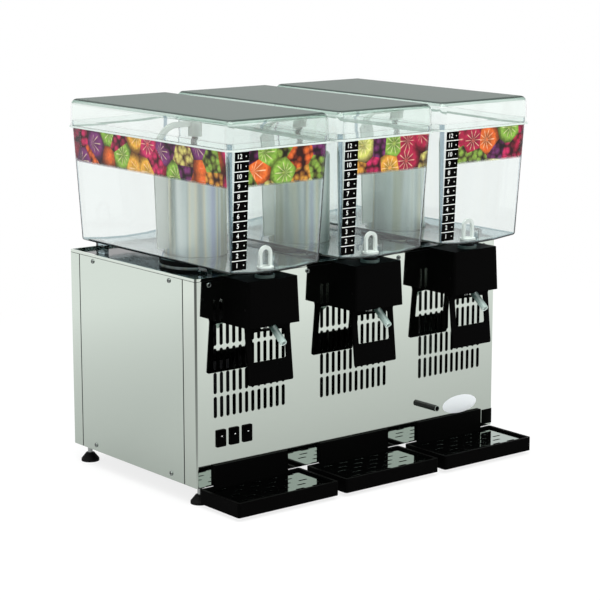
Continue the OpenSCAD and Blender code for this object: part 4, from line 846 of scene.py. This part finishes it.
def pale_floor():
    """Seamless white paper under and behind the object, which also shows in metal and through the bowls."""
    material, tree, shader, output = blank_material("white_paper")
    grain_mm = 2.5
    # Distances in metres from the object, and from its middle out past the front left corner
    dim_reach, dim_level = 1.15, 0.34
    corner_start, corner_end, corner_level = 0.37, 0.6, 0.15
    glow_start, glow_end = 0.2, 1.2
    grain = add(tree, "ShaderNodeTexNoise", values={"Scale": 1 / (grain_mm * MM)},
                links={"Vector": object_coords(tree)})
    tone = add(tree, "ShaderNodeValToRGB", links={"Fac": grain.outputs[0]})
    set_ramp(tone, [(0.0, "#F6F7F6"), (1.0, "#FBFCFB")])
    tree.links.new(tone.outputs[0], shader.inputs["Base Color"])
    shader.inputs["Roughness"].default_value = 0.9
    shader.inputs["Specular IOR Level"].default_value = 0.0
    # In mirror images the paper dims towards the object and out from its front left corner
    where = add(tree, "ShaderNodeTexCoord").outputs["Object"]
    spread = add(tree, "ShaderNodeVectorMath", {"operation": "ABSOLUTE"}, links={0: where})
    beyond = add(tree, "ShaderNodeVectorMath", {"operation": "SUBTRACT"}, values={1: (SIDE_X, -PANEL_Y, 0)},
                 links={0: spread.outputs[0]})
    apart = add(tree, "ShaderNodeSeparateXYZ", links={0: beyond.outputs[0]})
    away = add(tree, "ShaderNodeMath", {"operation": "MAXIMUM"},
               links={0: apart.outputs[0], 1: apart.outputs[1]}).outputs[0]
    dimmed = add(tree, "ShaderNodeMapRange", values={"From Max": dim_reach, "To Min": dim_level},
                 links={"Value": away})
    corner = add(tree, "ShaderNodeVectorMath", {"operation": "DOT_PRODUCT"},
                 values={1: (-ahead.y, -ahead.x, 0)}, links={0: where})
    dark_end = add(tree, "ShaderNodeMapRange", links={"Value": corner.outputs["Value"]}, values={
        "From Min": corner_start, "From Max": corner_end, "To Min": 1.0, "To Max": corner_level})
    # A ray through clear plastic counts as a mirrored one too, and sees the corner white
    path = add(tree, "ShaderNodeLightPath")
    patch = add(tree, "ShaderNodeMath", {"operation": "MAXIMUM"},
                links={0: dark_end.outputs[0], 1: path.outputs["Is Transmission Ray"]})
    mirrored = add(tree, "ShaderNodeMath", {"operation": "MULTIPLY"},
                   links={0: dimmed.outputs[0], 1: patch.outputs[0]})
    level = add(tree, "ShaderNodeMix", {"data_type": "FLOAT"}, values={2: 1.0},
                links={0: path.outputs["Is Glossy Ray"], 3: mirrored.outputs[0]})
    glow = add(tree, "ShaderNodeEmission", values={"Color": (1, 1, 1, 1)},
               links={"Strength": level.outputs[0]})
    # The paper keeps the object's shadow close by, and is plain white further off
    fade = add(tree, "ShaderNodeMapRange", links={"Value": away}, values={
        "From Min": glow_start, "From Max": glow_end, "To Min": PAPER_GLOW})
    share = add(tree, "ShaderNodeMath", {"operation": "MULTIPLY"},
                links={0: seen_directly(tree), 1: fade.outputs[0]})
    mixed = add(tree, "ShaderNodeMixShader",
                links={0: share.outputs[0], 1: shader.outputs[0], 2: glow.outputs[0]})
    tree.links.new(mixed.outputs[0], output.inputs["Surface"])
    return material


bm = bmesh.new()
bmesh.ops.create_grid(bm, x_segments=1, y_segments=1, size=FLOOR_HALF)
floor_mesh = bpy.data.meshes.new("floor")
bm.to_mesh(floor_mesh)
bm.free()
floor_mesh.materials.append(pale_floor())
floor = bpy.data.objects.new("floor", floor_mesh)
scene.collection.objects.link(floor)
floor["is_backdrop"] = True


def studio_world():
    """The room round the object, as metal and clear plastic show it.

    It has a white wall behind the object, dim walls at the sides that draw the edges of the clear plastic,
    a pale ceiling, and a slightly darker end behind the camera.
    """
    world = bpy.data.worlds.new("studio")
    world.use_nodes = True
    tree = world.node_tree
    tree.nodes.clear()
    # Shares of the way from the near end of the room to the far one, and heights of the ceiling's edge
    near_start, near_end = 0.45, 0.3
    ceiling_low, ceiling_high = 0.45, 0.75
    coords = add(tree, "ShaderNodeTexCoord")
    facing = add(tree, "ShaderNodeVectorMath", {"operation": "DOT_PRODUCT"}, values={1: ahead},
                 links={0: coords.outputs["Generated"]})
    turned = add(tree, "ShaderNodeMapRange", values={"From Min": -1.0},
                 links={"Value": facing.outputs["Value"]})
    walls = add(tree, "ShaderNodeValToRGB", links={"Fac": turned.outputs[0]})
    set_ramp(walls, [(0.1, "#C8CCCA"), (near_end, NEAR_WALLS), (near_start, NEAR_WALLS), (0.55, SIDE_WALLS),
                     (0.72, SIDE_WALLS), (0.88, "#FFFFFF")])
    height = add(tree, "ShaderNodeSeparateXYZ", links={0: coords.outputs["Generated"]})
    ceiling = add(tree, "ShaderNodeMapRange", values={"From Min": ceiling_low, "From Max": ceiling_high},
                  links={"Value": height.outputs[2]})
    room = add(tree, "ShaderNodeMath", {"operation": "MAXIMUM"},
               links={0: walls.outputs[0], 1: ceiling.outputs[0]})
    path = add(tree, "ShaderNodeLightPath")
    # Through clear plastic the near end is white too, so that the bowls look clear from behind
    near = add(tree, "ShaderNodeMapRange", values={"From Min": near_start, "From Max": near_end},
               links={"Value": turned.outputs[0]})
    near_through = add(tree, "ShaderNodeMath", {"operation": "MULTIPLY"},
                       links={0: near.outputs[0], 1: path.outputs["Is Transmission Ray"]})
    brightest = add(tree, "ShaderNodeMath", {"operation": "MAXIMUM"},
                    links={0: room.outputs[0], 1: near_through.outputs[0]})
    light = add(tree, "ShaderNodeMix", {"data_type": "FLOAT"}, values={2: AMBIENT},
                links={0: seen_directly(tree), 3: brightest.outputs[0]})
    shown = add(tree, "ShaderNodeMath", {"operation": "MAXIMUM"},
                links={0: light.outputs[0], 1: path.outputs["Is Camera Ray"]})
    background = add(tree, "ShaderNodeBackground", values={"Color": (1, 1, 1, 1)},
                     links={"Strength": shown.outputs[0]})
    add(tree, "ShaderNodeOutputWorld", links={"Surface": background.outputs[0]})
    return world


scene.world = studio_world()

# One large soft lamp above the front left
LAMP_PLACE, LAMP_AIM = Vector((-0.4, -0.6, 2.6)), Vector((0, 0, 0.3))
LAMP_SIZE, LAMP_POWER = 2.6, 70
lamp = bpy.data.lights.new("overhead", "AREA")
lamp.shape = "RECTANGLE"
lamp.size, lamp.size_y = LAMP_SIZE, LAMP_SIZE
lamp.energy = LAMP_POWER
overhead = bpy.data.objects.new("overhead", lamp)
overhead.location = LAMP_PLACE
overhead.rotation_mode = "QUATERNION"
overhead.rotation_quaternion = (LAMP_AIM - LAMP_PLACE).to_track_quat("-Z", "Y")
scene.collection.objects.link(overhead)

low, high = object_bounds()
